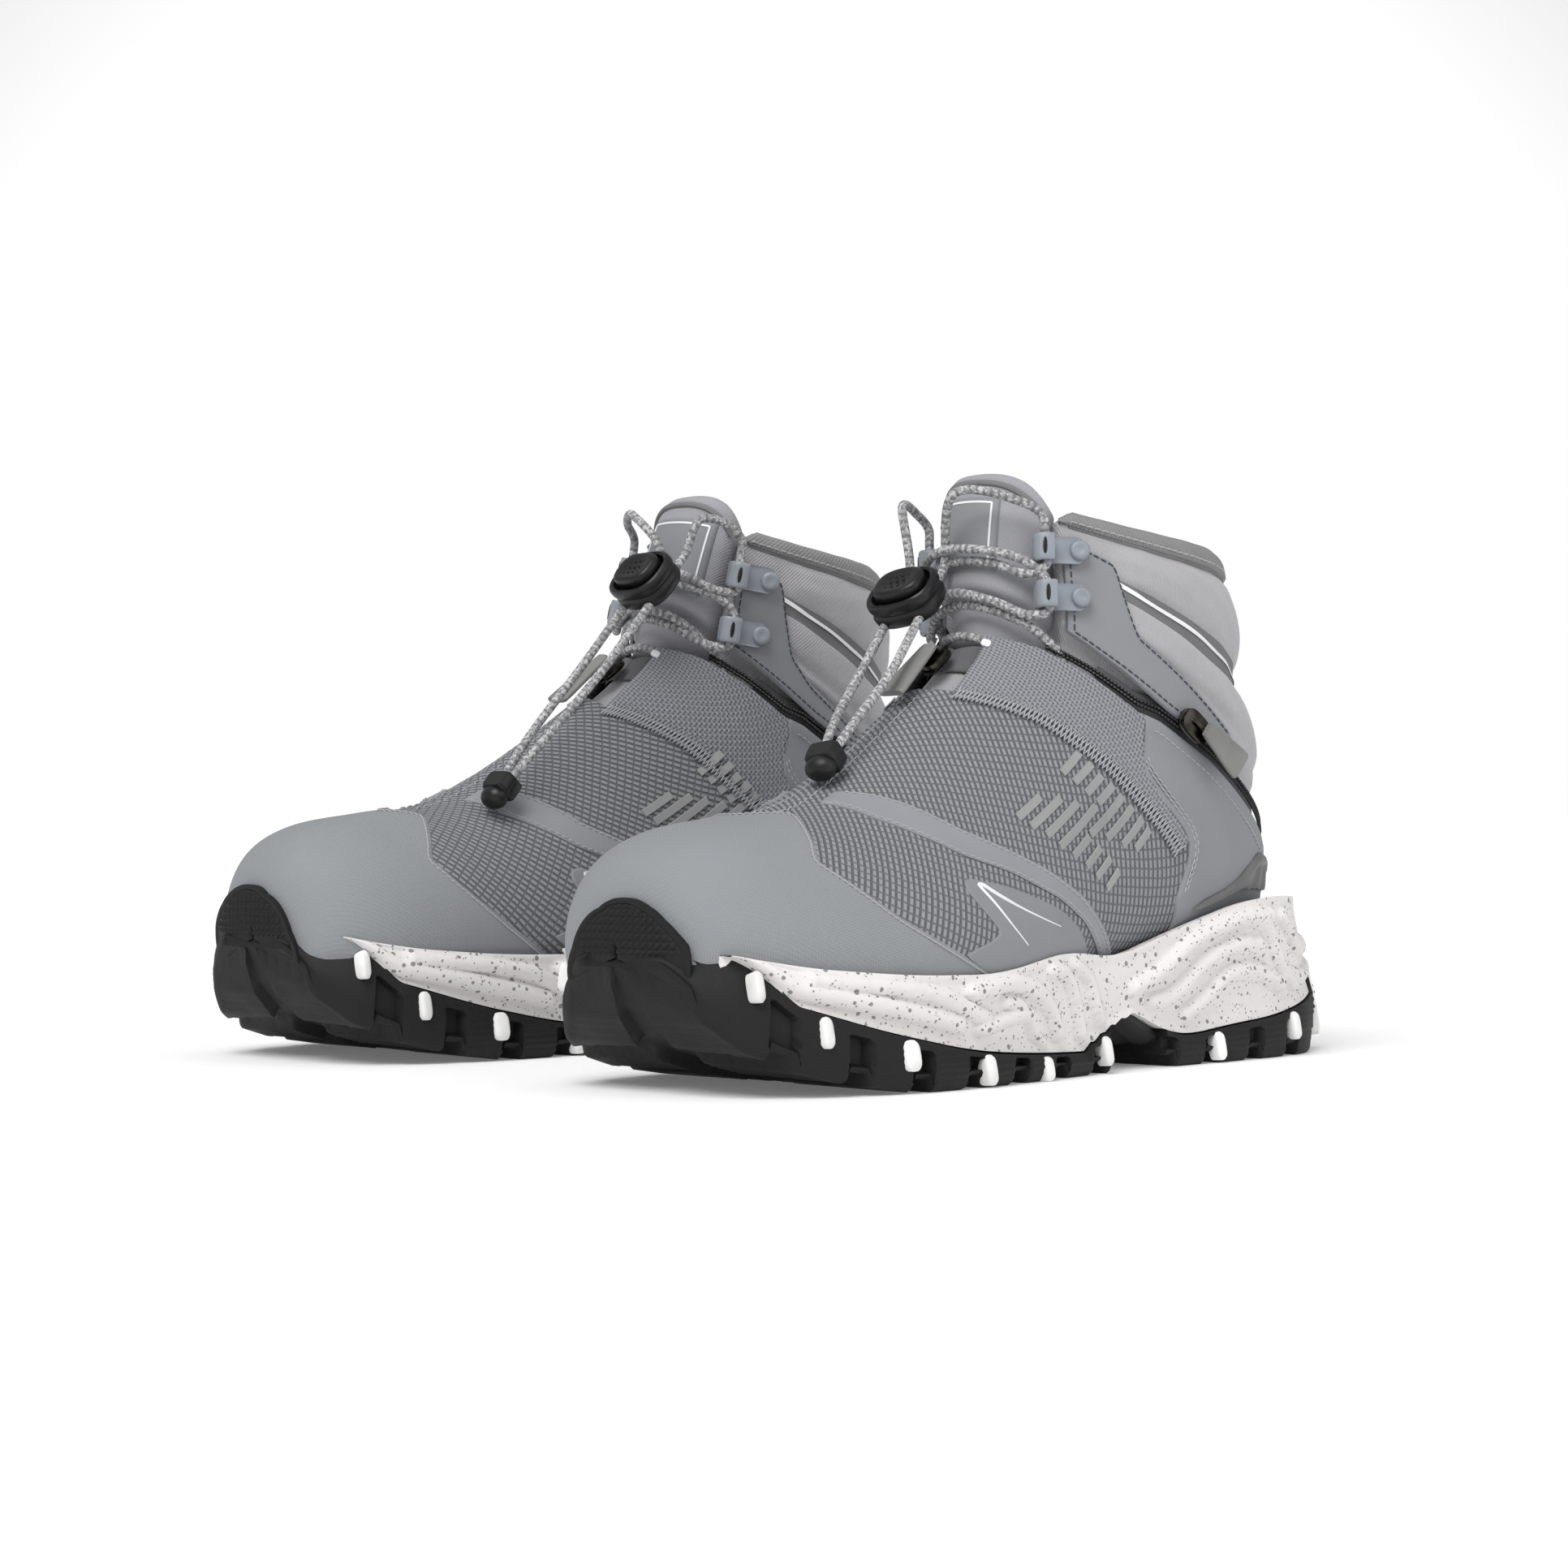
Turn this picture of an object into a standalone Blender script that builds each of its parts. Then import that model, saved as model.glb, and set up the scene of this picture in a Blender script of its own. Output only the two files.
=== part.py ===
"""A pair of zip-on hiking boots: a low outer shoe on a lugged sole, and a padded inner boot with speed lacing.

Each boot is modelled in its own frame in millimetres: x to the outside of the foot, y from toe to heel, z up,
with the ground at z = 0. Surfaces of the upper are read from one master surface, as a distance along the foot
(0 at the toe tip, 1 at the collar) and a turn around it (0 at the top or front, positive to the outside, and
1 at the sole or the back). The right boot mirrors the left one.
"""

import math

import bmesh
import bpy
import numpy as np
from mathutils import Matrix

MM = 0.001
GAP = 0.3

# The pair on the floor.
BOOT_SPACING = 182.6
TOE_OUT_DEG = 1.75

# Master sections from the toe tip to the collar, in mm: y and z of the top, y and z of the bottom, half width
# on the outside and on the inside, sideways shift of the top and of the bottom, how low the widest place
# lies, and how square the section is.
SECTIONS = np.array(
    [
        (-150, 44, -150, 40, 0, 0, -6, -6, 0.5, 1.0),
        (-149, 60, -147, 28, 19, 21, -6, -6, 0.5, 0.8),
        (-143, 71, -139, 27, 32, 34, -6, -6, 0.6, 0.78),
        (-128, 78, -124, 26, 43, 43, -6, -5, 0.7, 0.8),
        (-105, 81.5, -100, 25, 50, 48, -7, -3, 0.8, 0.88),
        (-80, 85, -66, 25, 53, 49, -8, 0, 0.85, 0.95),
        (-58, 95, -30, 25, 51, 48, -9, 1, 0.85, 1.05),
        (-38, 107, 8, 27, 46.5, 44, -10, 1, 0.75, 1.08),
        (-18, 120, 48, 29, 42.5, 40, -11, 1, 0.6, 1.05),
        (-1, 132, 90, 31, 40, 38, -12, 1, 0.35, 1.0),
        (8, 144, 125, 42, 39, 37, -13, 0, 0.2, 0.97),
        (12, 157, 132, 78, 39, 37, -14, -1, 0.1, 0.95),
        (16, 170, 124, 113, 38, 37, -16, -3, 0.05, 0.95),
        (20, 183, 120, 142, 38, 37, -18, -5, 0.0, 0.95),
        (25, 196, 116, 168, 38, 37, -20, -7, 0.0, 0.95),
    ]
)

# Edges between the panels of the upper: (turn, distance) pairs.
CAP_EDGE = [
    (-0.8, 0.42), (-0.67, 0.381), (-0.52, 0.342), (-0.34, 0.29), (-0.26, 0.272), (-0.09, 0.309),
    (0.0, 0.29), (0.06, 0.33), (0.12, 0.313), (0.24, 0.28), (0.4, 0.322), (0.62, 0.4), (0.8, 0.44),
]
SEAM = [
    (-0.8, 0.54), (-0.71, 0.575), (-0.63, 0.605), (-0.55, 0.642), (-0.43, 0.635), (-0.26, 0.614),
    (-0.095, 0.575), (0.0, 0.578), (0.11, 0.597), (0.24, 0.636), (0.36, 0.654), (0.5, 0.658),
    (0.55, 0.655), (0.59, 0.625), (0.63, 0.605), (0.71, 0.579), (0.8, 0.54),
]
TOPLINE = [
    (0.0, 0.68), (0.08, 0.697), (0.19, 0.722), (0.28, 0.731), (0.37, 0.736), (0.41, 0.745),
    (0.52, 0.754), (0.7, 0.758), (1.0, 0.762),
]
QUARTER_FRONT = [
    (0.375, 0.715), (0.39, 0.693), (0.41, 0.68), (0.45, 0.676), (0.52, 0.674), (0.55, 0.664),
    (0.6, 0.624), (0.71, 0.6), (0.8, 0.665), (0.9, 0.7), (1.0, 0.718),
]
COUNTER_TOP = [(0.6, 0.712), (0.65, 0.734), (0.78, 0.75), (1.0, 0.757)]

# The sole: outline points (x, y) from the toe tip to the heel tip, and heights over y.
OUTLINE_OUTSIDE = [
    (-7, -154.5), (9, -153.3), (23, -148), (34, -138.5), (42, -126), (49.5, -104), (53.5, -80),
    (53.5, -52), (50.5, -26), (46, 2), (43, 30), (41.5, 60), (41.5, 88), (40, 112), (35.5, 131),
    (25, 147), (12, 153.1), (0, 154.8),
]
OUTLINE_INSIDE = [
    (-7, -154.5), (-22, -152.6), (-35, -146), (-45, -136), (-51, -122), (-54.5, -102), (-55, -78),
    (-53.5, -52), (-50.5, -26), (-46, 2), (-41.5, 30), (-39.5, 60), (-39.5, 88), (-38, 112),
    (-33.5, 131), (-23.5, 147), (-12, 153.1), (0, 154.8),
]
RIM_HEIGHT = [
    (-152, 45), (-125, 38.5), (-85, 35), (-45, 34), (-4, 40), (12, 37), (20, 36), (61, 46),
    (96, 54), (125, 54), (156, 51),
]
SPLIT_HEIGHT = [
    (-152, 36), (-140, 31), (-120, 26), (-100, 19.5), (-77, 14.7), (-58, 11), (-25, 8.5), (14, 7),
    (18, 21.5), (29, 20), (46, 11.5), (56, 9), (80, 12), (110, 14), (140, 20), (156, 25),
]
GROUND_HEIGHT = [
    (-152, 34), (-146, 22), (-138, 14), (-125, 8), (-108, 3.5), (-88, 0.5), (-80, 0), (135, 0),
    (156, 6),
]
BUMPER_TOP = [
    (-0.62, 0.075), (-0.42, 0.06), (-0.1, 0.054), (0.0, 0.062), (0.18, 0.07), (0.29, 0.079),
    (0.37, 0.09), (0.43, 0.1), (0.62, 0.1),
]
HEEL_LEAN = 6.0
MIDSOLE_FRONT = -141.0
FOREFOOT_END = 15.5
HEEL_START = 47.0
LUG_PITCH = 23.0
LUG_LENGTH = 16.0
LUG_DEPTH = 4.0
LUG_MIDDLE_GROOVE = 8.0

# Layers of the upper, in mm outwards from the master surface.
SKIN = 1.3
ELASTIC_RISE = 1.8
SOLE_CLEARANCE = 1.0
TAPE_TOP = -2.0
TAPE_THICKNESS = 0.7
BOOTIE_LOW = -3.7
BOOTIE_WALL = 3.0
SHAFT_WALL = 9.0
GUSSET = -8.5
TONGUE_THICKNESS = 7.0
TONGUE_ROWS = [0.0, 0.12, 0.236, 0.296, 0.44, 0.6, 0.75, 0.87, 0.95, 1.0]
COLLAR_START = 0.956

# Hardware, in mm. Places are (distance, turn).
HOOK_PLACES = {
    "hook_lateral_upper": (0.868, 0.195),
    "hook_lateral_lower": (0.797, 0.195),
    "hook_medial_upper": (0.867, -0.235),
    "hook_medial_lower": (0.783, -0.235),
}
HOOK_HEIGHT = 9.0
HOOK_REACH = 11.5
RIVET_RADIUS = 3.3
LACE_DIAMETER = 3.0
LACE_STEP = 9.0
LOCK_SIZE = (25.0, 21.0, 11.0)
LOCK_HOLE_RADIUS = 2.0
LOCK_HOLE_SPREAD = 6.6
LOCK_HOLE_DEPTH = -2.4
BUTTON_SIZE = (18.0, 14.5)
BUTTON_REST = 3.9
BUTTON_TOP = 8.3
RECESS_FLOOR = 1.2
CLIP_SIZE = (13.0, 13.0, 8.5)
SLIDER_SIZE = (8.5, 12.5, 4.6)
PULL_SIZE = (10.5, 25.0, 2.4)
PULL_CLEARANCE = 0.7

# Where the cord lock and the end clip lie: the two locks hang a little differently.
LOCK_CENTRE = {"left": (-24.0, -5.1, 151.7), "right": (-31.6, -4.6, 161.8)}
CLIP_CENTRE = {"left": (-4.2, -65.6, 98.2), "right": (-33.4, -71.6, 88.8)}

GREY_RUBBER = (0.42, 0.41, 0.40)
COLOURS = {
    "outsole": ((0.022, 0.021, 0.022), 0.75, 0.0),
    "shank": ((0.03, 0.03, 0.032), 0.5, 0.0),
    "midsole": ((0.62, 0.61, 0.6), 0.85, 0.0),
    "toe_cap": ((0.27, 0.28, 0.3), 0.85, 0.0),
    "mesh": ((0.2, 0.205, 0.22), 0.9, 0.0),
    "elastic": ((0.26, 0.26, 0.29), 0.9, 0.0),
    "quarter": ((0.21, 0.205, 0.225), 0.7, 0.0),
    "counter": ((0.12, 0.118, 0.12), 0.55, 0.0),
    "twill": ((0.19, 0.19, 0.2), 0.9, 0.0),
    "lining": ((0.3, 0.3, 0.33), 0.9, 0.0),
    "collar": ((0.45, 0.44, 0.46), 0.9, 0.0),
    "tongue": ((0.42, 0.43, 0.46), 0.9, 0.0),
    "eyestay": ((0.24, 0.245, 0.27), 0.7, 0.0),
    "hook": ((0.28, 0.31, 0.34), 0.4, 0.0),
    "lace": ((0.35, 0.34, 0.34), 0.85, 0.0),
    "black_plastic": ((0.015, 0.015, 0.016), 0.4, 0.0),
    "metal": ((0.06, 0.055, 0.05), 0.35, 1.0),
    "pull": (GREY_RUBBER, 0.6, 0.0),
    "insole": ((0.1, 0.1, 0.11), 0.9, 0.0),
}


def curve(points, at):
    """The value at each place of a line through (place, value) points."""
    x, y = np.array(points, float).T
    return np.interp(at, x, y)


def smooth_line(points, count):
    """count points of a Catmull-Rom curve through the given points, evenly spread over its parameter."""
    p = np.array(points, float)
    slope = np.gradient(p, axis=0)
    u = np.linspace(0, len(p) - 1, count)
    i = np.minimum(u.astype(int), len(p) - 2)
    f = (u - i)[:, None]
    return (
        (2 * f**3 - 3 * f**2 + 1) * p[i]
        + (f**3 - 2 * f**2 + f) * slope[i]
        + (3 * f**2 - 2 * f**3) * p[i + 1]
        + (f**3 - f**2) * slope[i + 1]
    )


def outward_steps():
    """How each column of SECTIONS changes for each mm outwards from the surface."""
    steps = np.zeros_like(SECTIONS)
    for y, z, sign in ((0, 1, -1.0), (2, 3, 1.0)):
        run = np.gradient(SECTIONS[:, [y, z]], axis=0)
        run[0] = (0, 1) if sign < 0 else (0, -1)
        run /= np.linalg.norm(run, axis=1)[:, None]
        steps[:, y] = sign * run[:, 1]
        steps[:, z] = -sign * run[:, 0]
    steps[1:, 4:6] = 1.0
    return steps


OUTWARD = outward_steps()
SLOPES = np.gradient(SECTIONS, axis=0)
OUTWARD_SLOPES = np.gradient(OUTWARD, axis=0)


def surface(s, t, off=0.0):
    """Points of the master surface, moved outwards by off mm."""
    s, t, off = np.broadcast_arrays(np.asarray(s, float), np.asarray(t, float), np.asarray(off, float))
    u = np.clip(s, 0, 1) * (len(SECTIONS) - 1)
    i = np.minimum(u.astype(int), len(SECTIONS) - 2)
    f = (u - i)[..., None]
    weights = (2 * f**3 - 3 * f**2 + 1, f**3 - 2 * f**2 + f, 3 * f**2 - 2 * f**3, f**3 - f**2)

    def blend(values, slopes):
        a, b, c, d = weights
        return a * values[i] + b * slopes[i] + c * values[i + 1] + d * slopes[i + 1]

    row = blend(SECTIONS, SLOPES) + off[..., None] * blend(OUTWARD, OUTWARD_SLOPES)
    angle = math.pi * t
    down = (1 - np.cos(angle)) / 2
    down = down * (1 + row[..., 8] * (1 - down))
    side = np.sin(angle)
    half = np.where(side >= 0, row[..., 4], row[..., 5])
    x = row[..., 6] + (row[..., 7] - row[..., 6]) * down
    x = x + half * np.sign(side) * np.abs(side) ** row[..., 9]
    y = row[..., 0] + (row[..., 2] - row[..., 0]) * down
    z = row[..., 1] + (row[..., 3] - row[..., 1]) * down
    return np.stack([x, y, z], -1)


def frame_on(s, t, off):
    """A place on the upper: its point, and its across, up and outward axes as columns."""
    step = 0.004
    up = surface(s + step, t, off) - surface(s - step, t, off)
    across = surface(s, t + step, off) - surface(s, t - step, off)
    out = np.cross(across, up)
    up /= np.linalg.norm(up)
    out /= np.linalg.norm(out)
    return surface(s, t, off), np.column_stack([np.cross(up, out), up, out])


def topline(t):
    """The distance at which the low shoe ends, at each turn."""
    return curve(TOPLINE, np.abs(t))


def rim_distance(t, above=2.9):
    """The distance at which the upper rises out of the midsole's rim, at each turn."""
    s = np.linspace(0.9, 0.55, 200)
    found = []
    for turn in np.atleast_1d(t):
        p = surface(s, turn, 1.0)
        below = p[:, 2] < curve(RIM_HEIGHT, p[:, 1]) + above
        found.append(s[below.argmax()] if below.any() else s[-1])
    return np.array(found)


def step_up(value, start, end):
    """0 below start and 1 past end, with an even rise."""
    return np.clip((value - start) / (end - start), 0.0, 1.0)


def elastic_offset(s, t):
    """The elastic stands off the tongue at the front, where the lace runs under it."""
    rise = step_up(s, curve(SEAM, t) + 0.005, curve(SEAM, t) + 0.04)
    return ELASTIC_RISE * rise * step_up(-np.abs(t), -0.42, -0.31)


def bootie_outside(s, t):
    """The inner boot's outside: thin inside the low shoe, full above it, and sunk behind the tongue."""
    start = np.maximum(0.757, topline(t) + 0.032)
    shaft = BOOTIE_LOW * (1 - step_up(s, start, start + 0.018))
    sunk = step_up(-np.abs(t), -0.225, -0.205) * step_up(s, 0.655, 0.67)
    return shaft + (GUSSET - shaft) * sunk


def bootie_inside(s, t):
    """The inner boot's lining."""
    thick = BOOTIE_WALL + (SHAFT_WALL - BOOTIE_WALL) * step_up(s, 0.7, 0.8)
    sunk = step_up(-np.abs(t), -0.225, -0.205) * step_up(s, 0.655, 0.67)
    low = BOOTIE_LOW * (1 - step_up(s, 0.75, 0.8)) - thick
    return np.minimum(low, (GUSSET - 2.0) * sunk)


def mesh_object(name, points, faces, side, kind, place=None):
    """One piece from its points in mm, in the boot's frame or in the frame of its place on the boot."""
    origin, axes = place or (np.zeros(3), np.eye(3))
    points = np.array(points, float)
    mirror = np.diag([-1.0, 1.0, 1.0])
    if side == "right":
        points = points @ mirror
        origin, axes = mirror @ origin, mirror @ axes @ mirror
    mesh = bpy.data.meshes.new(f"{side}_{name}")
    mesh.from_pydata((points * MM).tolist(), [], faces)
    bm = bmesh.new()
    bm.from_mesh(mesh)
    bmesh.ops.recalc_face_normals(bm, faces=bm.faces)
    bm.to_mesh(mesh)
    bm.free()
    mesh.materials.append(material(kind))
    mesh.shade_smooth()
    mesh.set_sharp_from_angle(angle=math.radians(40))
    obj = bpy.data.objects.new(f"{side}_{name}", mesh)
    bpy.context.collection.objects.link(obj)
    obj.parent = bpy.data.objects[f"{side}_boot_frame"]
    turn = Matrix(axes.tolist()).to_4x4()
    obj.matrix_local = Matrix.Translation((origin * MM).tolist()) @ turn
    return obj


def material(kind):
    """The Principled material of one kind of piece, made once."""
    found = bpy.data.materials.get(kind)
    if found:
        return found
    colour, roughness, metallic = COLOURS[kind]
    made = bpy.data.materials.new(kind)
    made.use_nodes = True
    shader = made.node_tree.nodes["Principled BSDF"]
    shader.inputs["Base Color"].default_value = (*colour, 1.0)
    shader.inputs["Roughness"].default_value = roughness
    shader.inputs["Metallic"].default_value = metallic
    return made


def combine(obj, tool, operation):
    """Cuts obj with tool, or joins tool to it, and removes the tool."""
    cut = obj.modifiers.new(operation, "BOOLEAN")
    cut.operation = operation
    cut.object = tool
    cut.solver = "EXACT"
    seen = bpy.context.evaluated_depsgraph_get()
    mesh = bpy.data.meshes.new_from_object(obj.evaluated_get(seen))
    obj.modifiers.clear()
    obj.data = mesh
    bpy.data.objects.remove(tool)


def grid_faces(rows, columns, wrap):
    """Quads of a grid of points, row by row, closed around its columns or not."""
    last = columns if wrap else columns - 1
    return [
        (r * columns + c, r * columns + (c + 1) % columns, (r + 1) * columns + (c + 1) % columns,
         (r + 1) * columns + c)
        for r in range(rows - 1)
        for c in range(last)
    ]


def panel(turns, low, high, outside, inside, rows, wrap=False):
    """A curved sheet of the upper: points and faces. low and high give its edges at each turn."""
    t = np.array(turns, float)
    lo, hi = low(t), high(t)
    share = np.linspace(0, 1, rows) if isinstance(rows, int) else np.array(rows)
    rows = len(share)
    share = share[:, None]
    s = lo + (hi - lo) * share
    tt = np.broadcast_to(t, s.shape)
    n = len(t)
    points = np.concatenate([surface(s, tt, f(s, tt)).reshape(-1, 3) for f in (outside, inside)])
    half = rows * n
    outer = grid_faces(rows, n, wrap)
    faces = outer + [tuple(i + half for i in reversed(f)) for f in outer]
    edge = [list(range(n)), list(range(half - n, half))]
    closed = [True, True] if wrap else [False, False]
    if not wrap:
        edge += [list(range(0, half, n)), list(range(n - 1, half, n))]
        closed += [False, False]
    for line, loop in zip(edge, closed):
        for a, b in zip(line, line[1:] + line[:1] if loop else line[1:]):
            faces.append((a, b, b + half, a + half))
    return points, faces


def flat(value):
    """An offset that is the same everywhere."""
    return lambda s, t: np.full(np.shape(s), float(value))


def ring_solid(rings):
    """A closed solid through rings of equal length, with a flat fan at each end."""
    rings = np.array(rings, float)
    count, size = rings.shape[:2]
    points = np.concatenate([rings.reshape(-1, 3), rings[0].mean(0)[None], rings[-1].mean(0)[None]])
    faces = grid_faces(count, size, True)
    first, last = count * size, count * size + 1
    for i in range(size):
        j = (i + 1) % size
        faces.append((first, j, i))
        faces.append((last, (count - 1) * size + i, (count - 1) * size + j))
    return points, faces


def box_solid(size, centre=(0, 0, 0), taper=1.0):
    """A box in a place's frame, its top face scaled by taper."""
    w, h, d = (v / 2 for v in size)
    corners = [(-w, -h), (w, -h), (w, h), (-w, h)]
    points = [(x, y, -d) for x, y in corners] + [(x * taper, y * taper, d) for x, y in corners]
    faces = [(3, 2, 1, 0), (4, 5, 6, 7)]
    faces += [(i, (i + 1) % 4, 4 + (i + 1) % 4, 4 + i) for i in range(4)]
    return np.array(points) + np.array(centre, float), faces


def oval_solid(width, height, layers, sides=20, power=0.75, centre=(0.0, 0.0)):
    """A rounded oval block: layers of (height over the place, scale of the outline)."""
    a = np.arange(sides) * 2 * math.pi / sides
    x = np.sign(np.cos(a)) * np.abs(np.cos(a)) ** power * width / 2
    y = np.sign(np.sin(a)) * np.abs(np.sin(a)) ** power * height / 2
    cx, cy = centre
    return ring_solid([np.column_stack([x * k + cx, y * k + cy, np.full(sides, z)]) for z, k in layers])


def outline_at(y):
    """The sole's x on the outside and on the inside, at a place along the foot."""
    found = []
    for points in (OUTLINE_OUTSIDE, OUTLINE_INSIDE):
        line = smooth_line(points, 400)
        found.append(float(np.interp(y, line[:, 1], line[:, 0])))
    return found


def sole_stations(start, end):
    """The places where the sole's height lines bend, between start and end."""
    knots = [y for y, _ in SPLIT_HEIGHT if start < y < end]
    return sorted([start, end] + knots)


def upper_cutter(side):
    """The whole upper as one solid, a gap larger, that hollows out the sole."""
    s = [0.012, 0.04, 0.09, 0.14, 0.2, 0.28, 0.36, 0.44, 0.52, 0.59, 0.64, 0.67, 0.695, 0.714, 0.735, 0.76, 0.8]
    t = np.linspace(-1, 1, 29)[:-1]
    rings = [surface(v, t, SOLE_CLEARANCE) for v in s]
    return mesh_object("cutter", *ring_solid(rings), side, "lining")


def midsole_ring(y):
    """The midsole's section across the foot, before the upper is cut out of it."""
    outside, inside = outline_at(y)
    top = float(curve(RIM_HEIGHT, y))
    low = float(curve(SPLIT_HEIGHT, y)) + GAP
    middle = (outside + inside) / 2
    lean = HEEL_LEAN * float(step_up(y, 110, 155))
    half = [(0.955, low, 0), (1.01, low + (top - low) * 0.45, 0.3), (0.97, top - 1, 0.9), (0.93, top, 1)]
    right = [(middle + (outside - middle) * k, y - lean * u, z) for k, z, u in half]
    left = [(middle + (inside - middle) * k, y - lean * u, z) for k, z, u in reversed(half)]
    return right + left


def make_midsole(side):
    """The speckled foam midsole."""
    stations = sole_stations(MIDSOLE_FRONT, 153.5) + [-132, -110, -88, -42, -8, 68, 96, 125, 148, 154.6]
    obj = mesh_object("midsole", *ring_solid([midsole_ring(y) for y in sorted(stations)]), side, "midsole")
    combine(obj, upper_cutter(side), "DIFFERENCE")


def lug_stations(start, end):
    """Places of the sole's sections: (y, True on a lug), with a steep step at each end of a lug."""
    places = []
    y = start
    while y < end - 3:
        stop = min(y + LUG_LENGTH, end)
        places += [(v, True) for v in sole_stations(y + 0.4, stop - 0.4)]
        if stop < end - 3:
            places += [(v, False) for v in sole_stations(stop + 0.4, min(y + LUG_PITCH, end) - 0.4)]
        y += LUG_PITCH
    return places


def sole_ring(y, on_lug, top):
    """The outsole's section across the foot: a groove along the middle, and lugs on either side."""
    outside, inside = outline_at(y)
    ground = float(curve(GROUND_HEIGHT, y))
    low = ground if on_lug else min(ground + LUG_DEPTH, top - 1.5)
    groove = min(ground + LUG_DEPTH, top - 1.5)
    middle = (outside + inside) / 2
    half = (outside - inside) / 2
    near = min(LUG_MIDDLE_GROOVE, half * 0.4)
    left = [(-1.0, top), (-0.98, low)]
    right = [(0.98, low), (1.0, top)]
    ring = [(middle + half * k, y, z) for k, z in left]
    ring += [(middle - near - 1, y, low), (middle - near, y, groove)]
    ring += [(middle + near, y, groove), (middle + near + 1, y, low)]
    return ring + [(middle + half * k, y, z) for k, z in right]


def make_outsole_forefoot(side):
    """The front outsole with its toe bumper."""
    front = [(-154.2, True), (-151.5, True), (-146.5, True), (MIDSOLE_FRONT - 0.8, True)]
    places = front + [(MIDSOLE_FRONT - 0.4, True)] + lug_stations(-137.5, FOREFOOT_END)
    rings = []
    for i, (y, on_lug) in enumerate(places):
        top = float(curve(RIM_HEIGHT if i < len(front) else SPLIT_HEIGHT, y))
        rings.append(sole_ring(y, on_lug, top - (1.0 if i < len(front) else GAP)))
    obj = mesh_object("outsole_forefoot", *ring_solid(rings), side, "outsole")
    combine(obj, upper_cutter(side), "DIFFERENCE")
    turns = np.linspace(-0.62, 0.62, 15)
    top = lambda t: curve(BUMPER_TOP, t)
    bumper = panel(turns, lambda t: np.full(len(t), 0.012), top, flat(3.0), flat(GAP + 0.25), 4)
    combine(obj, mesh_object("bumper", *bumper, side, "outsole"), "UNION")


def make_outsole_heel(side):
    """The heel outsole."""
    rings = []
    for y, on_lug in lug_stations(HEEL_START, 151) + [(153.0, True), (154.6, True)]:
        rings.append(sole_ring(y, on_lug, float(curve(SPLIT_HEIGHT, y)) - GAP))
    mesh_object("outsole_heel", *ring_solid(rings), side, "outsole")


def make_shank(side):
    """The stiff plate that shows in the arch between the two outsoles."""
    rings = []
    for y in (FOREFOOT_END + 4, 24, 30, 36, 42, HEEL_START - 1):
        top = float(curve(SPLIT_HEIGHT, y)) - GAP
        outside, inside = outline_at(y)
        rings.append([
            (outside * 0.8, y, top), (inside * 0.8, y, top),
            (inside * 0.76, y, top - 5), (outside * 0.76, y, top - 5),
        ])
    mesh_object("arch_shank", *ring_solid(rings), side, "shank")


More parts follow.
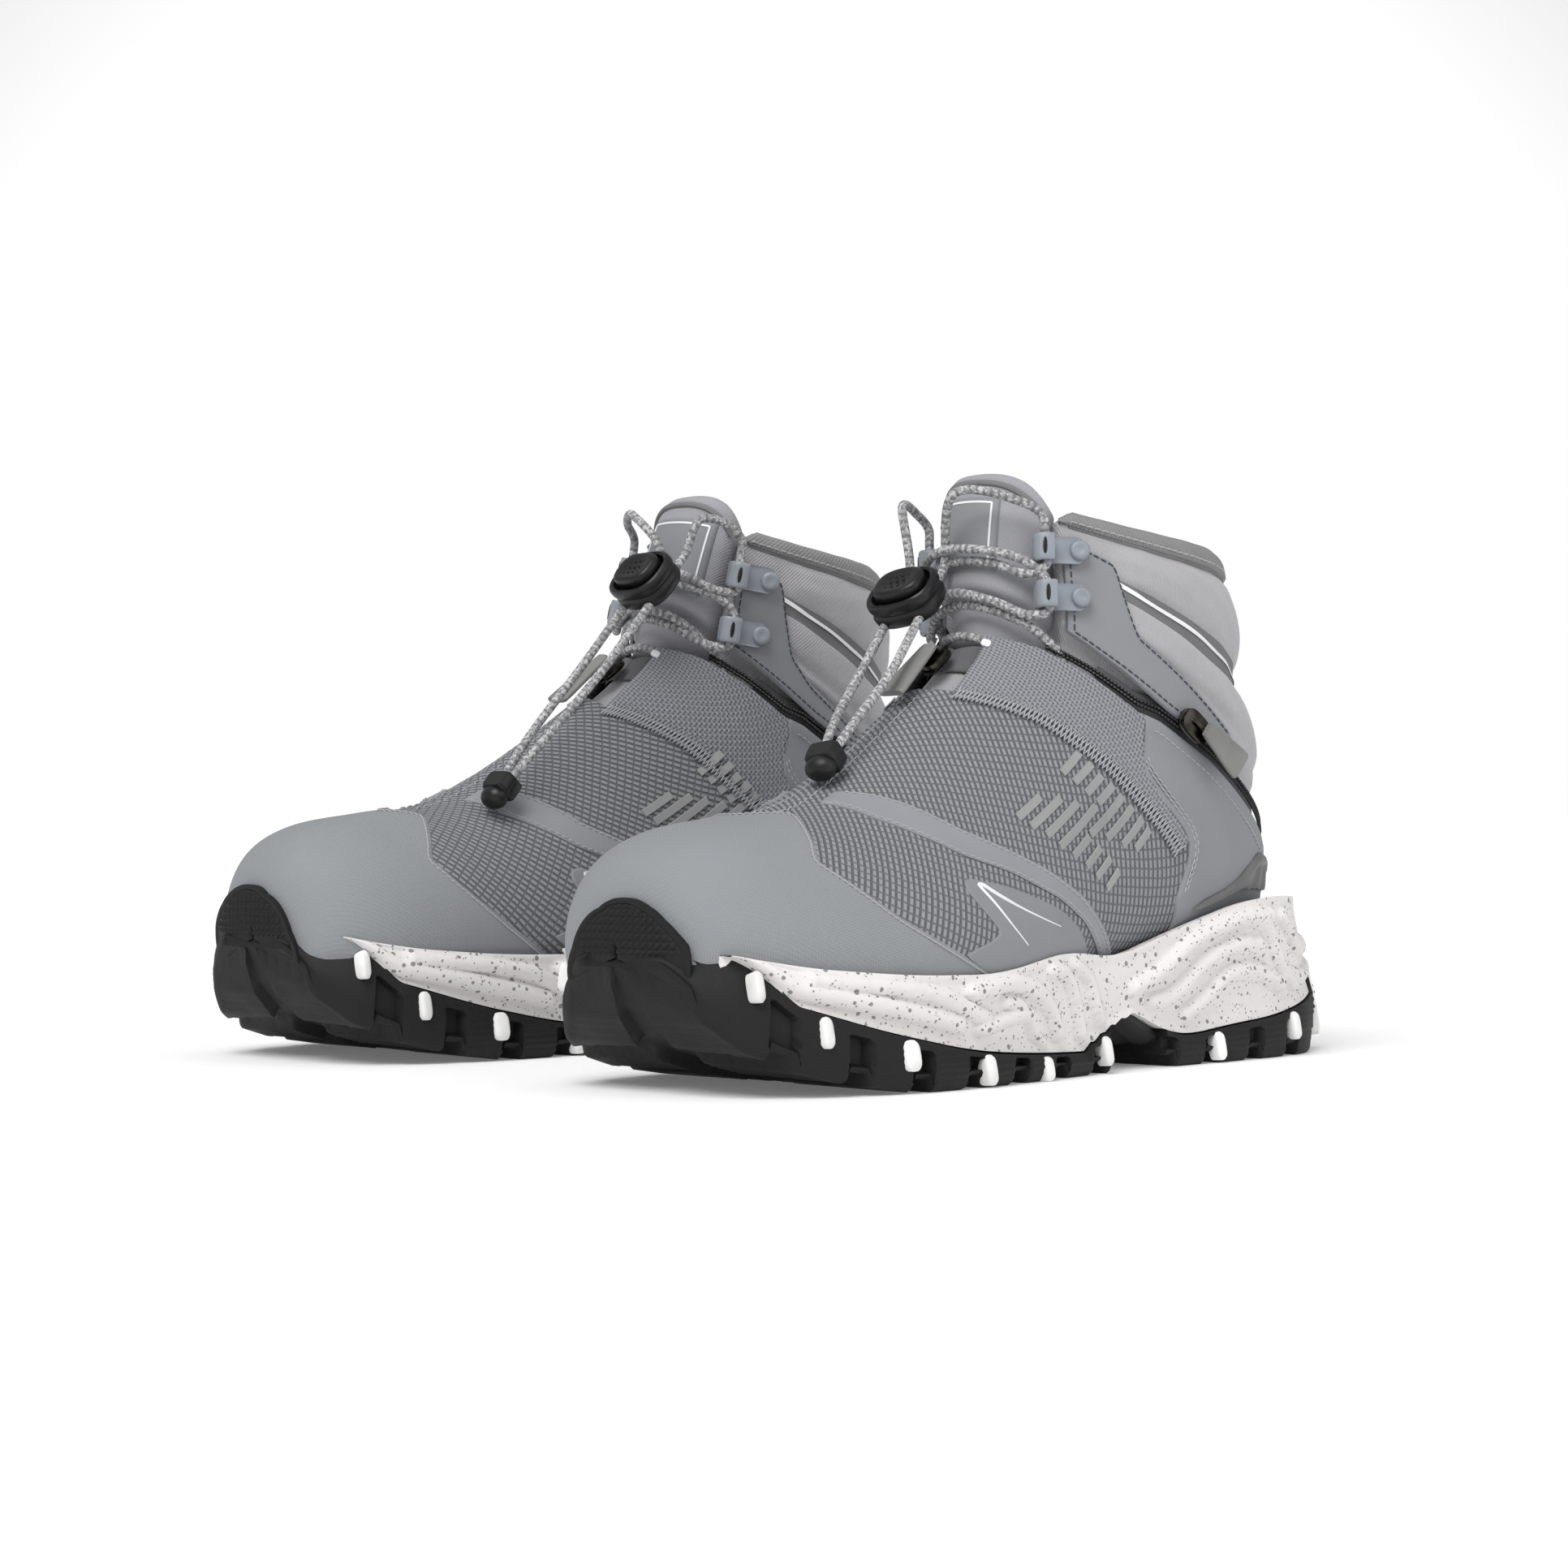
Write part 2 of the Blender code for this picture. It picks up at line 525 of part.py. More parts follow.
def make_low_shoe(side):
    """The panels of the outer shoe."""
    below = flat(-SKIN)
    turns = [-0.78, -0.67, -0.52, -0.42, -0.34, -0.26, -0.17, -0.09, 0, 0.06, 0.12, 0.18, 0.24, 0.32, 0.4,
             0.51, 0.62, 0.7, 0.78]
    cap = panel(turns, lambda t: np.full(len(t), 0.012), lambda t: curve(CAP_EDGE, t) - 0.002, flat(0),
                below, 6)
    mesh_object("toe_cap", *cap, side, "toe_cap")
    turns = [-0.78, -0.71, -0.63, -0.55, -0.43, -0.34, -0.26, -0.17, -0.09, 0, 0.06, 0.11, 0.18, 0.24,
             0.3, 0.36, 0.43, 0.5, 0.55, 0.59, 0.63, 0.71, 0.78]
    vamp = panel(turns, lambda t: curve(CAP_EDGE, t) + 0.003, lambda t: curve(SEAM, t) - 0.004, flat(0),
                 below, 6)
    mesh_object("vamp", *vamp, side, "mesh")

    def elastic_top(t):
        """The elastic's upper edge: the topline, then the quarter's front edge."""
        t = np.abs(t)
        return np.where(t < 0.372, topline(t), np.interp(t, *np.array(QUARTER_FRONT).T) - 0.004)

    turns = np.array([0.086, 0.12, 0.17, 0.22, 0.27, 0.32, 0.364, 0.378, 0.392, 0.41, 0.45, 0.5, 0.535])
    for name, sign in (("elastic_lateral", 1), ("elastic_medial", -1)):
        band = panel(turns * sign, lambda t: curve(SEAM, t), elastic_top, elastic_offset,
                     lambda s, t: elastic_offset(s, t) - 1.3, 4)
        mesh_object(name, *band, side, "elastic")
    turns = np.array([0.38, 0.392, 0.41, 0.45, 0.5, 0.55, 0.6, 0.65, 0.71, 0.755, 0.8, 0.85, 0.9])
    turns = np.concatenate([turns, [1.0], 2 - turns[::-1]])
    quarter = panel(turns, lambda t: curve(QUARTER_FRONT, 1 - np.abs(t - 1)),
                    lambda t: topline(1 - np.abs(t - 1)), flat(0), below, 5)
    mesh_object("quarter", *quarter, side, "quarter")
    turns = np.array([0.61, 0.65, 0.71, 0.755, 0.8, 0.85, 0.9])
    turns = np.concatenate([turns, [1.0], 2 - turns[::-1]])
    counter = panel(turns, lambda t: rim_distance(1 - np.abs(t - 1)),
                    lambda t: curve(COUNTER_TOP, 1 - np.abs(t - 1)), flat(2.6), flat(0.9), 4)
    mesh_object("heel_counter", *counter, side, "counter")
    turns = np.array([0.0, 0.07, 0.15, 0.22, 0.28, 0.34, 0.38, 0.42, 0.5, 0.6, 0.7, 0.8, 0.9])
    turns = np.concatenate([turns, [1.0], 2 - turns[:0:-1]])

    def tape_low(t):
        """The tape runs under the elastic at the front and stands out of the topline behind it."""
        t = 1 - np.abs(t - 1)
        return np.where(t < 0.3, 0.63, topline(t) - 0.01)

    def tape_high(t):
        """The tape's upper edge."""
        t = 1 - np.abs(t - 1)
        return np.where(t < 0.3, 0.672, topline(t) + 0.022)

    tape = panel(turns, tape_low, tape_high, flat(TAPE_TOP), flat(TAPE_TOP - TAPE_THICKNESS), 3, True)
    mesh_object("zip_tape", *tape, side, "twill")


def make_bootie(side):
    """The inner boot: a closed sock with a padded shaft, its lining and its collar."""
    around = np.array([0.0, 0.1, 0.203, 0.227, 0.34, 0.42, 0.5, 0.6, 0.7, 0.8, 0.9])
    t = np.concatenate([around, [1.0], 2 - around[:0:-1]])
    t = np.where(t > 1, t - 2, t)
    lengths = [0.05, 0.09, 0.16, 0.26, 0.38, 0.5, 0.6, 0.653, 0.672, 0.715, 0.735, 0.757, 0.785, 0.81, 0.88,
               COLLAR_START - 0.003]
    outer = [surface(s, t, bootie_outside(s, t)) for s in lengths]
    inner = [surface(s, t, bootie_inside(s, t)) for s in lengths[1:]]
    mesh_object("bootie", *ring_solid(outer + inner[::-1]), side, "lining")
    turns = np.array([0.225, 0.3, 0.38, 0.46, 0.55, 0.65, 0.75, 0.87])
    turns = np.concatenate([turns, [1.0], 2 - turns[::-1]])

    def puff(s, t):
        """The collar's outside, rounded at the top."""
        return -0.2 - 4.0 * step_up(s, 0.975, 1.0) ** 2

    collar = panel(turns, lambda t: np.full(len(t), COLLAR_START), lambda t: np.full(len(t), 1.0), puff,
                   lambda s, t: -SHAFT_WALL + 3.5 * step_up(s, 0.975, 1.0) ** 2, 4)
    mesh_object("collar_padding", *collar, side, "collar")
    insole = panel(np.linspace(0.78, 1.22, 7), lambda t: np.full(len(t), 0.13),
                   lambda t: np.full(len(t), 0.675), flat(BOOTIE_LOW - BOOTIE_WALL - 1.5),
                   flat(BOOTIE_LOW - BOOTIE_WALL - 4.1), 8)
    mesh_object("insole", *insole, side, "insole")


def tongue_outside(s, t):
    """The tongue's face: sunk under the elastic and the lace, and rounded to its sides and top."""
    sunk = (BOOTIE_LOW - 0.8) * (1 - step_up(s, 0.757, 0.775))
    return sunk - 2.2 * (np.abs(t) / 0.19) ** 4 - 2.5 * step_up(s, 0.97, 1.0) ** 2


def make_tongue(side):
    """The padded tongue with its label patch, and the two eyestays with their straps."""
    turns = np.array([-0.18, -0.15, -0.1, -0.05, 0, 0.05, 0.1, 0.15, 0.185])
    tongue = panel(turns, lambda t: np.full(len(t), 0.682), lambda t: 1.0 - 0.04 * (np.abs(t) / 0.19) ** 3,
                   tongue_outside, flat(-TONGUE_THICKNESS), TONGUE_ROWS)
    mesh_object("tongue", *tongue, side, "tongue")
    label = panel([-0.15, -0.1, -0.05, 0, 0.05, 0.085], lambda t: np.full(len(t), 0.812),
                  lambda t: np.full(len(t), 0.942), lambda s, t: tongue_outside(s, t) + 1.3,
                  lambda s, t: tongue_outside(s, t) + 0.5, 4)
    mesh_object("tongue_label", *label, side, "eyestay")
    shapes = {
        "eyestay_lateral": ([0.235, 0.28, 0.32, 0.334, 0.4, 0.46, 0.52, 0.59],
                            [(0.23, 0.765), (0.3, 0.762), (0.43, 0.76), (0.59, 0.772)],
                            [(0.23, 0.898), (0.322, 0.888), (0.334, 0.815), (0.4, 0.814), (0.59, 0.794)]),
        "eyestay_medial": ([-0.235, -0.29, -0.35, -0.366, -0.42, -0.48, -0.53, -0.59],
                           [(0.23, 0.762), (0.43, 0.76), (0.59, 0.772)],
                           [(0.23, 0.888), (0.35, 0.892), (0.366, 0.81), (0.42, 0.791), (0.59, 0.785)]),
    }
    for name, (turns, low, high) in shapes.items():
        stay = panel(turns, lambda t: curve(low, np.abs(t)), lambda t: curve(high, np.abs(t)),
                     flat(GAP + 1.4), flat(GAP), 4)
        mesh_object(name, *stay, side, "eyestay")


def make_hook(name, s, t, side):
    """A speed hook: a base plate under a curl that opens away from the tongue, and a round rivet head."""
    origin, axes = frame_on(s, t, GAP + 1.4 + GAP)
    outward = 1.0 if t > 0 else -1.0
    curl = [
        (HOOK_REACH, 0.0), (HOOK_REACH, 1.1), (-2.0, 1.1), (-2.6, 2.4), (-2.6, 3.6), (-1.4, 5.3),
        (0.6, 5.8), (2.4, 5.5), (2.8, 6.5), (0.6, 7.0), (-2.2, 6.4), (-3.8, 4.4), (-3.8, 1.8),
        (-2.6, 0.0),
    ]
    half = HOOK_HEIGHT / 2
    ring = np.array([(x * outward, 0.0, z) for x, z in curl])
    ends = [ring + [0, -half, 0], ring + [0, half, 0]]
    count = len(curl)
    faces = grid_faces(2, count, True)
    faces += [tuple(range(count))[::-1], tuple(range(count, 2 * count))]
    hook = mesh_object(name, np.concatenate(ends), faces, side, "hook", (origin, axes))
    place = (HOOK_REACH * outward, 0.0)
    rivet = oval_solid(2 * RIVET_RADIUS, 2 * RIVET_RADIUS, [(0.0, 1.0), (2.2, 1.0), (2.9, 0.8)], 12, 1.0,
                       place)
    combine(hook, mesh_object("rivet", *rivet, side, "hook", (origin, axes)), "UNION")


def lock_frame(side):
    """The cord lock's place: its centre and its across, up and outward axes."""
    centre = np.array(LOCK_CENTRE[side])
    up = centre - np.array(CLIP_CENTRE[side])
    up /= np.linalg.norm(up)
    out = np.cross([1.0, 0.0, 0.0], up)
    out /= np.linalg.norm(out)
    return centre, np.column_stack([np.cross(up, out), up, out])


def make_lock(side):
    """The cord lock: an oval body with two lace holes, and a push button in its face."""
    place = lock_frame(side)
    width, height, depth = LOCK_SIZE
    half = depth / 2
    layers = [(-half, 0.8), (-half + 1.5, 0.97), (0, 1.0), (half - 2.2, 0.96), (half, 0.86)]
    body = mesh_object("cord_lock_body", *oval_solid(width, height, layers), side, "black_plastic", place)
    button_width, button_height = BUTTON_SIZE
    recess = oval_solid(button_width + 2 * GAP, button_height + 2 * GAP,
                        [(RECESS_FLOOR, 1.0), (half + 2, 1.0)])
    combine(body, mesh_object("recess", *recess, side, "black_plastic", place), "DIFFERENCE")
    for x in (-LOCK_HOLE_SPREAD, LOCK_HOLE_SPREAD):
        a = np.arange(10) * 2 * math.pi / 10
        ring = np.column_stack([x + LOCK_HOLE_RADIUS * np.cos(a), 0 * a,
                                LOCK_HOLE_DEPTH + LOCK_HOLE_RADIUS * np.sin(a)])
        hole = ring_solid([ring - [0, height, 0], ring + [0, height, 0]])
        combine(body, mesh_object("hole", *hole, side, "black_plastic", place), "DIFFERENCE")
    layers = [(BUTTON_REST, 1.0), (BUTTON_TOP - 1.4, 1.0), (BUTTON_TOP, 0.8), (BUTTON_TOP - 0.8, 0.45)]
    mesh_object("cord_lock_button", *oval_solid(button_width, button_height, layers), side,
                "black_plastic", place)


def clip_frame(side):
    """The end clip's place on the vamp, turned towards the cord lock."""
    centre = np.array(CLIP_CENTRE[side])
    return centre, lock_frame(side)[1]


def make_clip(side):
    """The clip that holds both lace ends."""
    width, height, depth = CLIP_SIZE
    layers = [(-depth / 2, 0.86), (-depth / 2 + 1.2, 1.0), (depth / 2 - 1.2, 1.0), (depth / 2, 0.86)]
    clip = oval_solid(width, height, layers, 12, 0.5)
    mesh_object("cord_end_clip", *clip, side, "black_plastic", clip_frame(side))


def lace_route(side):
    """The lace's own points in mm, from one end in the clip to the other."""
    def on(s, t, off):
        return surface(s, t, off)

    origin, axes = lock_frame(side)
    clip, _ = clip_frame(side)

    def at_lock(x, y):
        return origin + axes @ np.array([x, y, LOCK_HOLE_DEPTH])

    def at_clip(x, y):
        return clip + axes @ np.array([x, y, 0.0])

    half = CLIP_SIZE[1] / 2 + GAP
    spread = LOCK_HOLE_SPREAD
    start = [at_clip(2.2, half), at_clip(3.4, half + 7), at_lock(spread, -32), at_lock(spread, -22),
             at_lock(spread, -2), at_lock(spread, 11), at_lock(spread, 15)]
    end = [at_lock(-spread, 15), at_lock(-spread, 11), at_lock(-spread, -2), at_lock(-spread, -22),
           at_lock(-spread, -32), at_clip(-3.4, half + 7), at_clip(-2.2, half)]
    lateral_top = [on(0.922, 0.03, 15), on(0.928, 0.13, 10), on(0.914, 0.194, 5.4)]
    medial_top = [on(0.914, -0.233, 5.4), on(0.928, -0.2, 10), on(0.922, -0.15, 15)]
    hook = 5.3
    route = start + lateral_top
    route += [on(0.897, 0.197, 5.0), on(0.838, 0.195, hook)]
    route += [on(0.823, 0.172, 5.2), on(0.822, 0.08, 3.6), on(0.82, -0.02, 3.4), on(0.818, -0.11, 3.8),
              on(0.818, -0.2, 5.0)]
    route += [on(0.811, -0.235, hook), on(0.755, -0.235, hook)]
    route += [on(0.744, -0.2, 4.2), on(0.744, -0.1, 1.6), on(0.746, 0.0, 0.6), on(0.746, 0.1, 0.6),
              on(0.742, 0.19, 0.4), on(0.727, 0.235, -1.4)]
    route += [on(0.703, 0.18, -1.65), on(0.696, 0.09, -1.65), on(0.694, 0.0, -1.6), on(0.696, -0.09, -1.65),
              on(0.703, -0.17, -1.75)]
    route += [on(0.727, -0.235, -1.5), on(0.745, -0.19, -0.4), on(0.757, -0.1, 4.6), on(0.76, 0.0, 4.4),
              on(0.757, 0.1, 3.6), on(0.758, 0.17, 4.4)]
    route += [on(0.769, 0.195, hook), on(0.823, 0.195, hook)]
    route += [on(0.835, 0.165, 6.2), on(0.837, 0.08, 7.0), on(0.836, -0.02, 7.0), on(0.832, -0.12, 6.6),
              on(0.828, -0.205, 5.8)]
    route += [on(0.836, -0.235, hook), on(0.895, -0.235, hook)]
    return np.array(route + medial_top + end)


def sampled(points, step):
    """Points of a smooth curve through the given ones, about a step apart, each given one kept."""
    p = np.array(points, float)
    gap = np.linalg.norm(np.diff(p, axis=0), axis=1)
    chord = (gap[1:] + gap[:-1])[:, None]
    slope = np.gradient(p, axis=0)
    slope[1:-1] = ((p[1:-1] - p[:-2]) * gap[1:, None] / gap[:-1, None]
                   + (p[2:] - p[1:-1]) * gap[:-1, None] / gap[1:, None]) / chord
    unit = np.zeros_like(p)
    unit[1:-1] = slope[1:-1]
    unit[0], unit[-1] = (p[1] - p[0]) / gap[0], (p[-1] - p[-2]) / gap[-1]
    line = []
    for i, length in enumerate(gap):
        count = max(1, round(length / step))
        f = (np.arange(count) / count)[:, None]
        line.append(
            (2 * f**3 - 3 * f**2 + 1) * p[i] + (f**3 - 2 * f**2 + f) * unit[i] * length
            + (3 * f**2 - 2 * f**3) * p[i + 1] + (f**3 - f**2) * unit[i + 1] * length
        )
    return np.concatenate(line + [p[-1:]])


def make_lace(side):
    """The elastic lace, one cord from end to end."""
    points = sampled(lace_route(side), LACE_STEP)
    if side == "right":
        points = points * [-1, 1, 1]
    data = bpy.data.curves.new(f"{side}_lace", "CURVE")
    data.dimensions = "3D"
    data.bevel_depth = LACE_DIAMETER / 2 * MM
    data.bevel_resolution = 2
    data.use_fill_caps = True
    spline = data.splines.new("POLY")
    spline.points.add(len(points) - 1)
    for point, place in zip(spline.points, points):
        point.co = (*(place * MM), 1.0)
    data.materials.append(material("lace"))
    obj = bpy.data.objects.new(f"{side}_lace", data)
    bpy.context.collection.objects.link(obj)
    obj.parent = bpy.data.objects[f"{side}_boot_frame"]


def pull_solid(length, width, thick):
    """A pull tab that hangs from its origin: narrow at the hinge, full at its end."""
    profile = [(0.35, 0.9), (0.5, -1.5), (0.98, -length * 0.3), (1.0, -length + 1.5), (0.8, -length)]
    ring = []
    for share, y in profile:
        x = width / 2 * share
        ring.append([(-x, y, -thick / 2), (x, y, -thick / 2), (x, y, thick / 2), (-x, y, thick / 2)])
    return ring_solid(ring)


def make_zip(name, place, hang, side):
    """A zip slider on its tape, and the pull that is hinged on it."""
    width, height, depth = SLIDER_SIZE
    origin, axes = place
    body = box_solid(SLIDER_SIZE, (0, 0, depth / 2), 0.8)
    mesh_object(f"zip_slider_{name}", *body, side, "metal", place)
    pull_width, length, thick = PULL_SIZE
    hinge = origin + axes @ np.array([0.0, 0.0, depth + PULL_CLEARANCE + thick / 2])
    turn = math.radians(hang)
    c, s = math.cos(turn), math.sin(turn)
    tilt = np.array([[1, 0, 0], [0, c, -s], [0, s, c]])
    mesh_object(f"zip_pull_{name}", *pull_solid(length, pull_width, thick), side, "pull",
                (hinge, axes @ tilt))


def front_zip_place():
    """The front slider, on the centre line between the two elastics."""
    return frame_on(0.628, 0.0, 1.0)


def side_zip_place():
    """The side slider, on the topline behind the ankle, running along it."""
    origin, axes = frame_on(0.762, 0.47, 2.3)
    across, up, out = axes.T
    return origin, np.column_stack([up, -across, out])


def make_boot(side):
    """All the pieces of one boot, under one empty."""
    sign = 1 if side == "left" else -1
    empty = bpy.data.objects.new(f"{side}_boot_frame", None)
    bpy.context.collection.objects.link(empty)
    empty.location = (sign * BOOT_SPACING / 2 * MM, 0, 0)
    empty.rotation_euler = (0, 0, sign * math.radians(TOE_OUT_DEG))
    make_midsole(side)
    make_outsole_forefoot(side)
    make_outsole_heel(side)
    make_shank(side)
    make_low_shoe(side)
    make_bootie(side)
    make_tongue(side)
    for name, (s, t) in HOOK_PLACES.items():
        make_hook(name, s, t, side)
    make_lock(side)
    make_clip(side)
    make_lace(side)
    make_zip("front", front_zip_place(), 0, side)
    make_zip("side", side_zip_place(), 0, side)


def main():
    for obj in list(bpy.data.objects):
        bpy.data.objects.remove(obj)
    for side in ("left", "right"):
        make_boot(side)


main()
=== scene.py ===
"""A pair of zip-on hiking boots: their finished surfaces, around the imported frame.

Each boot is worked out in its own frame in millimetres: x to the outside of the foot, y from toe to heel,
and z up.
Places on the upper are a distance along the foot (0 at the toe tip, 1 at the collar) and a turn around it
(0 on top or in front, positive to the outside, 1 under the foot or at the back).
"""

import math

import bmesh
import bpy
import numpy as np
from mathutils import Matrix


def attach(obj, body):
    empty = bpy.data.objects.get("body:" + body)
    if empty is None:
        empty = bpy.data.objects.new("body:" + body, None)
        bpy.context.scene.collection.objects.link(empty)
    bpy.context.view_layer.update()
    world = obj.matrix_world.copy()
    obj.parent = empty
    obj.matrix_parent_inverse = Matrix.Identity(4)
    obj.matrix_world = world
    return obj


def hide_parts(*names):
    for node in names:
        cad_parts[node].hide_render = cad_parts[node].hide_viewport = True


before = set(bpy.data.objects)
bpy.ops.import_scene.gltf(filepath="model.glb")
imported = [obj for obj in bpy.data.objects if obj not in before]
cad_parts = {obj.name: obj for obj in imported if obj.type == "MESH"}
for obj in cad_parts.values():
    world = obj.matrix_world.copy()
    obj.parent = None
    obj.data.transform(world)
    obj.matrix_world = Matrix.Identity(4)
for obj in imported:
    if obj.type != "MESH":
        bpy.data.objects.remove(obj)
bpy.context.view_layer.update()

bl_info = {
    "name": "Hiking Boots",
    "version": (1, 0, 0),
    "blender": (4, 5, 0),
    "location": "3D View > Sidebar > Boots",
    "description": "Makes the finished surfaces of a pair of zip-on hiking boots",
    "category": "Add Mesh",
}

MM = 0.001
SIDES = ("left", "right")
BOOT_SPACING = 182.6
TOE_OUT = math.radians(1.75)

# Master sections from the toe tip to the collar, in mm: y and z of the top, y and z of the bottom, half width
# on the outside and on the inside, sideways shift of the top and of the bottom, how low the widest place
# lies, and how square the section is.
SECTIONS = np.array(
    [
        (-150, 44, -150, 40, 0, 0, -6, -6, 0.5, 1.0),
        (-149, 60, -147, 28, 19, 21, -6, -6, 0.5, 0.8),
        (-143, 71, -139, 27, 32, 34, -6, -6, 0.6, 0.78),
        (-128, 78, -124, 26, 43, 43, -6, -5, 0.7, 0.8),
        (-105, 81.5, -100, 25, 50, 48, -7, -3, 0.8, 0.88),
        (-80, 85, -66, 25, 53, 49, -8, 0, 0.85, 0.95),
        (-58, 95, -30, 25, 51, 48, -9, 1, 0.85, 1.05),
        (-38, 107, 8, 27, 46.5, 44, -10, 1, 0.75, 1.08),
        (-18, 120, 48, 29, 42.5, 40, -11, 1, 0.6, 1.05),
        (-1, 132, 90, 31, 40, 38, -12, 1, 0.35, 1.0),
        (8, 144, 125, 42, 39, 37, -13, 0, 0.2, 0.97),
        (12, 157, 132, 78, 39, 37, -14, -1, 0.1, 0.95),
        (16, 170, 124, 113, 38, 37, -16, -3, 0.05, 0.95),
        (20, 183, 120, 142, 38, 37, -18, -5, 0.0, 0.95),
        (25, 196, 116, 168, 38, 37, -20, -7, 0.0, 0.95),
    ]
)

# Edges of the upper's panels, as (turn, distance).
CAP_EDGE = [
    (-0.8, 0.42), (-0.67, 0.381), (-0.52, 0.342), (-0.34, 0.29), (-0.26, 0.272), (-0.09, 0.309),
    (0.0, 0.29), (0.06, 0.33), (0.12, 0.313), (0.24, 0.28), (0.4, 0.322), (0.62, 0.4), (0.8, 0.44),
]
SEAM = [
    (-0.8, 0.54), (-0.71, 0.575), (-0.63, 0.605), (-0.55, 0.642), (-0.43, 0.635), (-0.26, 0.614),
    (-0.095, 0.575), (0.0, 0.578), (0.11, 0.597), (0.24, 0.636), (0.36, 0.654), (0.5, 0.658),
    (0.55, 0.655), (0.59, 0.625), (0.63, 0.605), (0.71, 0.579), (0.8, 0.54),
]
TOPLINE = [
    (0.0, 0.68), (0.08, 0.697), (0.19, 0.722), (0.28, 0.731), (0.37, 0.736), (0.41, 0.745),
    (0.52, 0.754), (0.7, 0.758), (1.0, 0.762),
]
QUARTER_FRONT = [
    (0.375, 0.715), (0.39, 0.693), (0.41, 0.68), (0.45, 0.676), (0.52, 0.674), (0.55, 0.664),
    (0.6, 0.624), (0.71, 0.6), (0.8, 0.665), (0.9, 0.7), (1.0, 0.718),
]
COUNTER_TOP = [(0.6, 0.712), (0.65, 0.734), (0.78, 0.75), (1.0, 0.757)]
BUMPER_TOP = [
    (-0.62, 0.075), (-0.42, 0.06), (-0.1, 0.054), (0.0, 0.062), (0.18, 0.07), (0.29, 0.079),
    (0.37, 0.09), (0.43, 0.1), (0.62, 0.1),
]
BAND_LOW = [
    (0.06, 0.374), (0.17, 0.389), (0.23, 0.406), (0.31, 0.432), (0.38, 0.468), (0.47, 0.501),
    (0.54, 0.515), (0.72, 0.53),
]
BAND_HIGH = [
    (0.06, 0.398), (0.11, 0.413), (0.19, 0.435), (0.275, 0.456), (0.35, 0.486), (0.42, 0.511),
    (0.49, 0.528), (0.575, 0.535), (0.72, 0.545),
]
CHEVRON_LOW = [
    (0.352, 0.416), (0.36, 0.41), (0.375, 0.409), (0.415, 0.412), (0.48, 0.419), (0.5, 0.412),
    (0.508, 0.39), (0.52, 0.372), (0.56, 0.385), (0.62, 0.404), (0.72, 0.43),
]
CHEVRON_HIGH = [
    (0.352, 0.418), (0.36, 0.428), (0.4, 0.456), (0.44, 0.475), (0.49, 0.496), (0.55, 0.508), (0.72, 0.518),
]

# The sole: outline points (x, y) from the toe tip to the heel tip, and heights over y, in mm.
OUTLINE_OUTSIDE = [
    (-7, -154.5), (9, -153.3), (23, -148), (34, -138.5), (42, -126), (49.5, -104), (53.5, -80),
    (53.5, -52), (50.5, -26), (46, 2), (43, 30), (41.5, 60), (41.5, 88), (40, 112), (35.5, 131),
    (25, 147), (12, 153.1), (0, 154.8),
]
OUTLINE_INSIDE = [
    (-7, -154.5), (-22, -152.6), (-35, -146), (-45, -136), (-51, -122), (-54.5, -102), (-55, -78),
    (-53.5, -52), (-50.5, -26), (-46, 2), (-41.5, 30), (-39.5, 60), (-39.5, 88), (-38, 112),
    (-33.5, 131), (-23.5, 147), (-12, 153.1), (0, 154.8),
]
RIM_HEIGHT = [
    (-152, 45), (-125, 38.5), (-85, 35), (-45, 34), (-4, 40), (12, 37), (20, 36), (61, 46),
    (96, 54), (125, 54), (156, 51),
]
SPLIT_HEIGHT = [
    (-152, 36), (-140, 31), (-120, 26), (-100, 19.5), (-77, 14.7), (-58, 11), (-25, 8.5), (14, 7),
    (18, 21.5), (29, 20), (46, 11.5), (56, 9), (80, 12), (110, 14), (140, 20), (156, 25),
]
GROUND_HEIGHT = [
    (-152, 34), (-146, 22), (-138, 14), (-125, 8), (-108, 3.5), (-88, 0.5), (-80, 0), (135, 0),
    (156, 6),
]
HEEL_LEAN = 6.0
MIDSOLE_FRONT = -141.0
FOREFOOT_END = 15.5
HEEL_START = 47.0
LUG_PITCH = 23.0
LUG_LENGTH = 16.0
LUG_DEPTH = 4.0

# Layers of the upper, in mm outwards from the master surface.
SKIN = 1.3
ELASTIC_RISE = 1.8
TAPE_TOP = -2.0
BOOTIE_LOW = -3.7
BOOTIE_WALL = 3.0
SHAFT_WALL = 9.0
GUSSET = -8.5
TONGUE_THICKNESS = 7.0
GAP = 0.3
# How far the collar is drawn down near the tongue, as a share of the distance along the foot.
COLLAR_DROP = 0.045
# Where the midsole turns in behind the heel, how deep that turn is, and how far the upper spreads there.
MIDSOLE_TURN = 148
MIDSOLE_END = 6.6
HEEL_FLARE = 6.0
# How far the side zip's slider is turned from the tape's level.
SIDE_SLIDER_TURN = 40

# Hardware, in mm. Places are (distance, turn).
HOOK_PLACES = {
    "hook_lateral_upper": (0.868, 0.195),
    "hook_lateral_lower": (0.797, 0.195),
    "hook_medial_upper": (0.867, -0.235),
    "hook_medial_lower": (0.783, -0.235),
}
LOCK_SIZE = (25.0, 21.0, 11.0)
LOCK_HOLE_SPREAD = 6.6
LOCK_HOLE_DEPTH = -2.4
BUTTON_SIZE = (18.0, 14.5)
BUTTON_REST = 3.9
BUTTON_TOP = 8.3
CLIP_SIZE = (13.0, 13.0, 8.5)
SLIDER_SIZE = (8.5, 12.5, 4.6)
PULL_SIZE = (10.5, 25.0, 2.4)
LOCK_CENTRE = {"left": (-24.0, -5.1, 151.7), "right": (-31.6, -4.6, 161.8)}
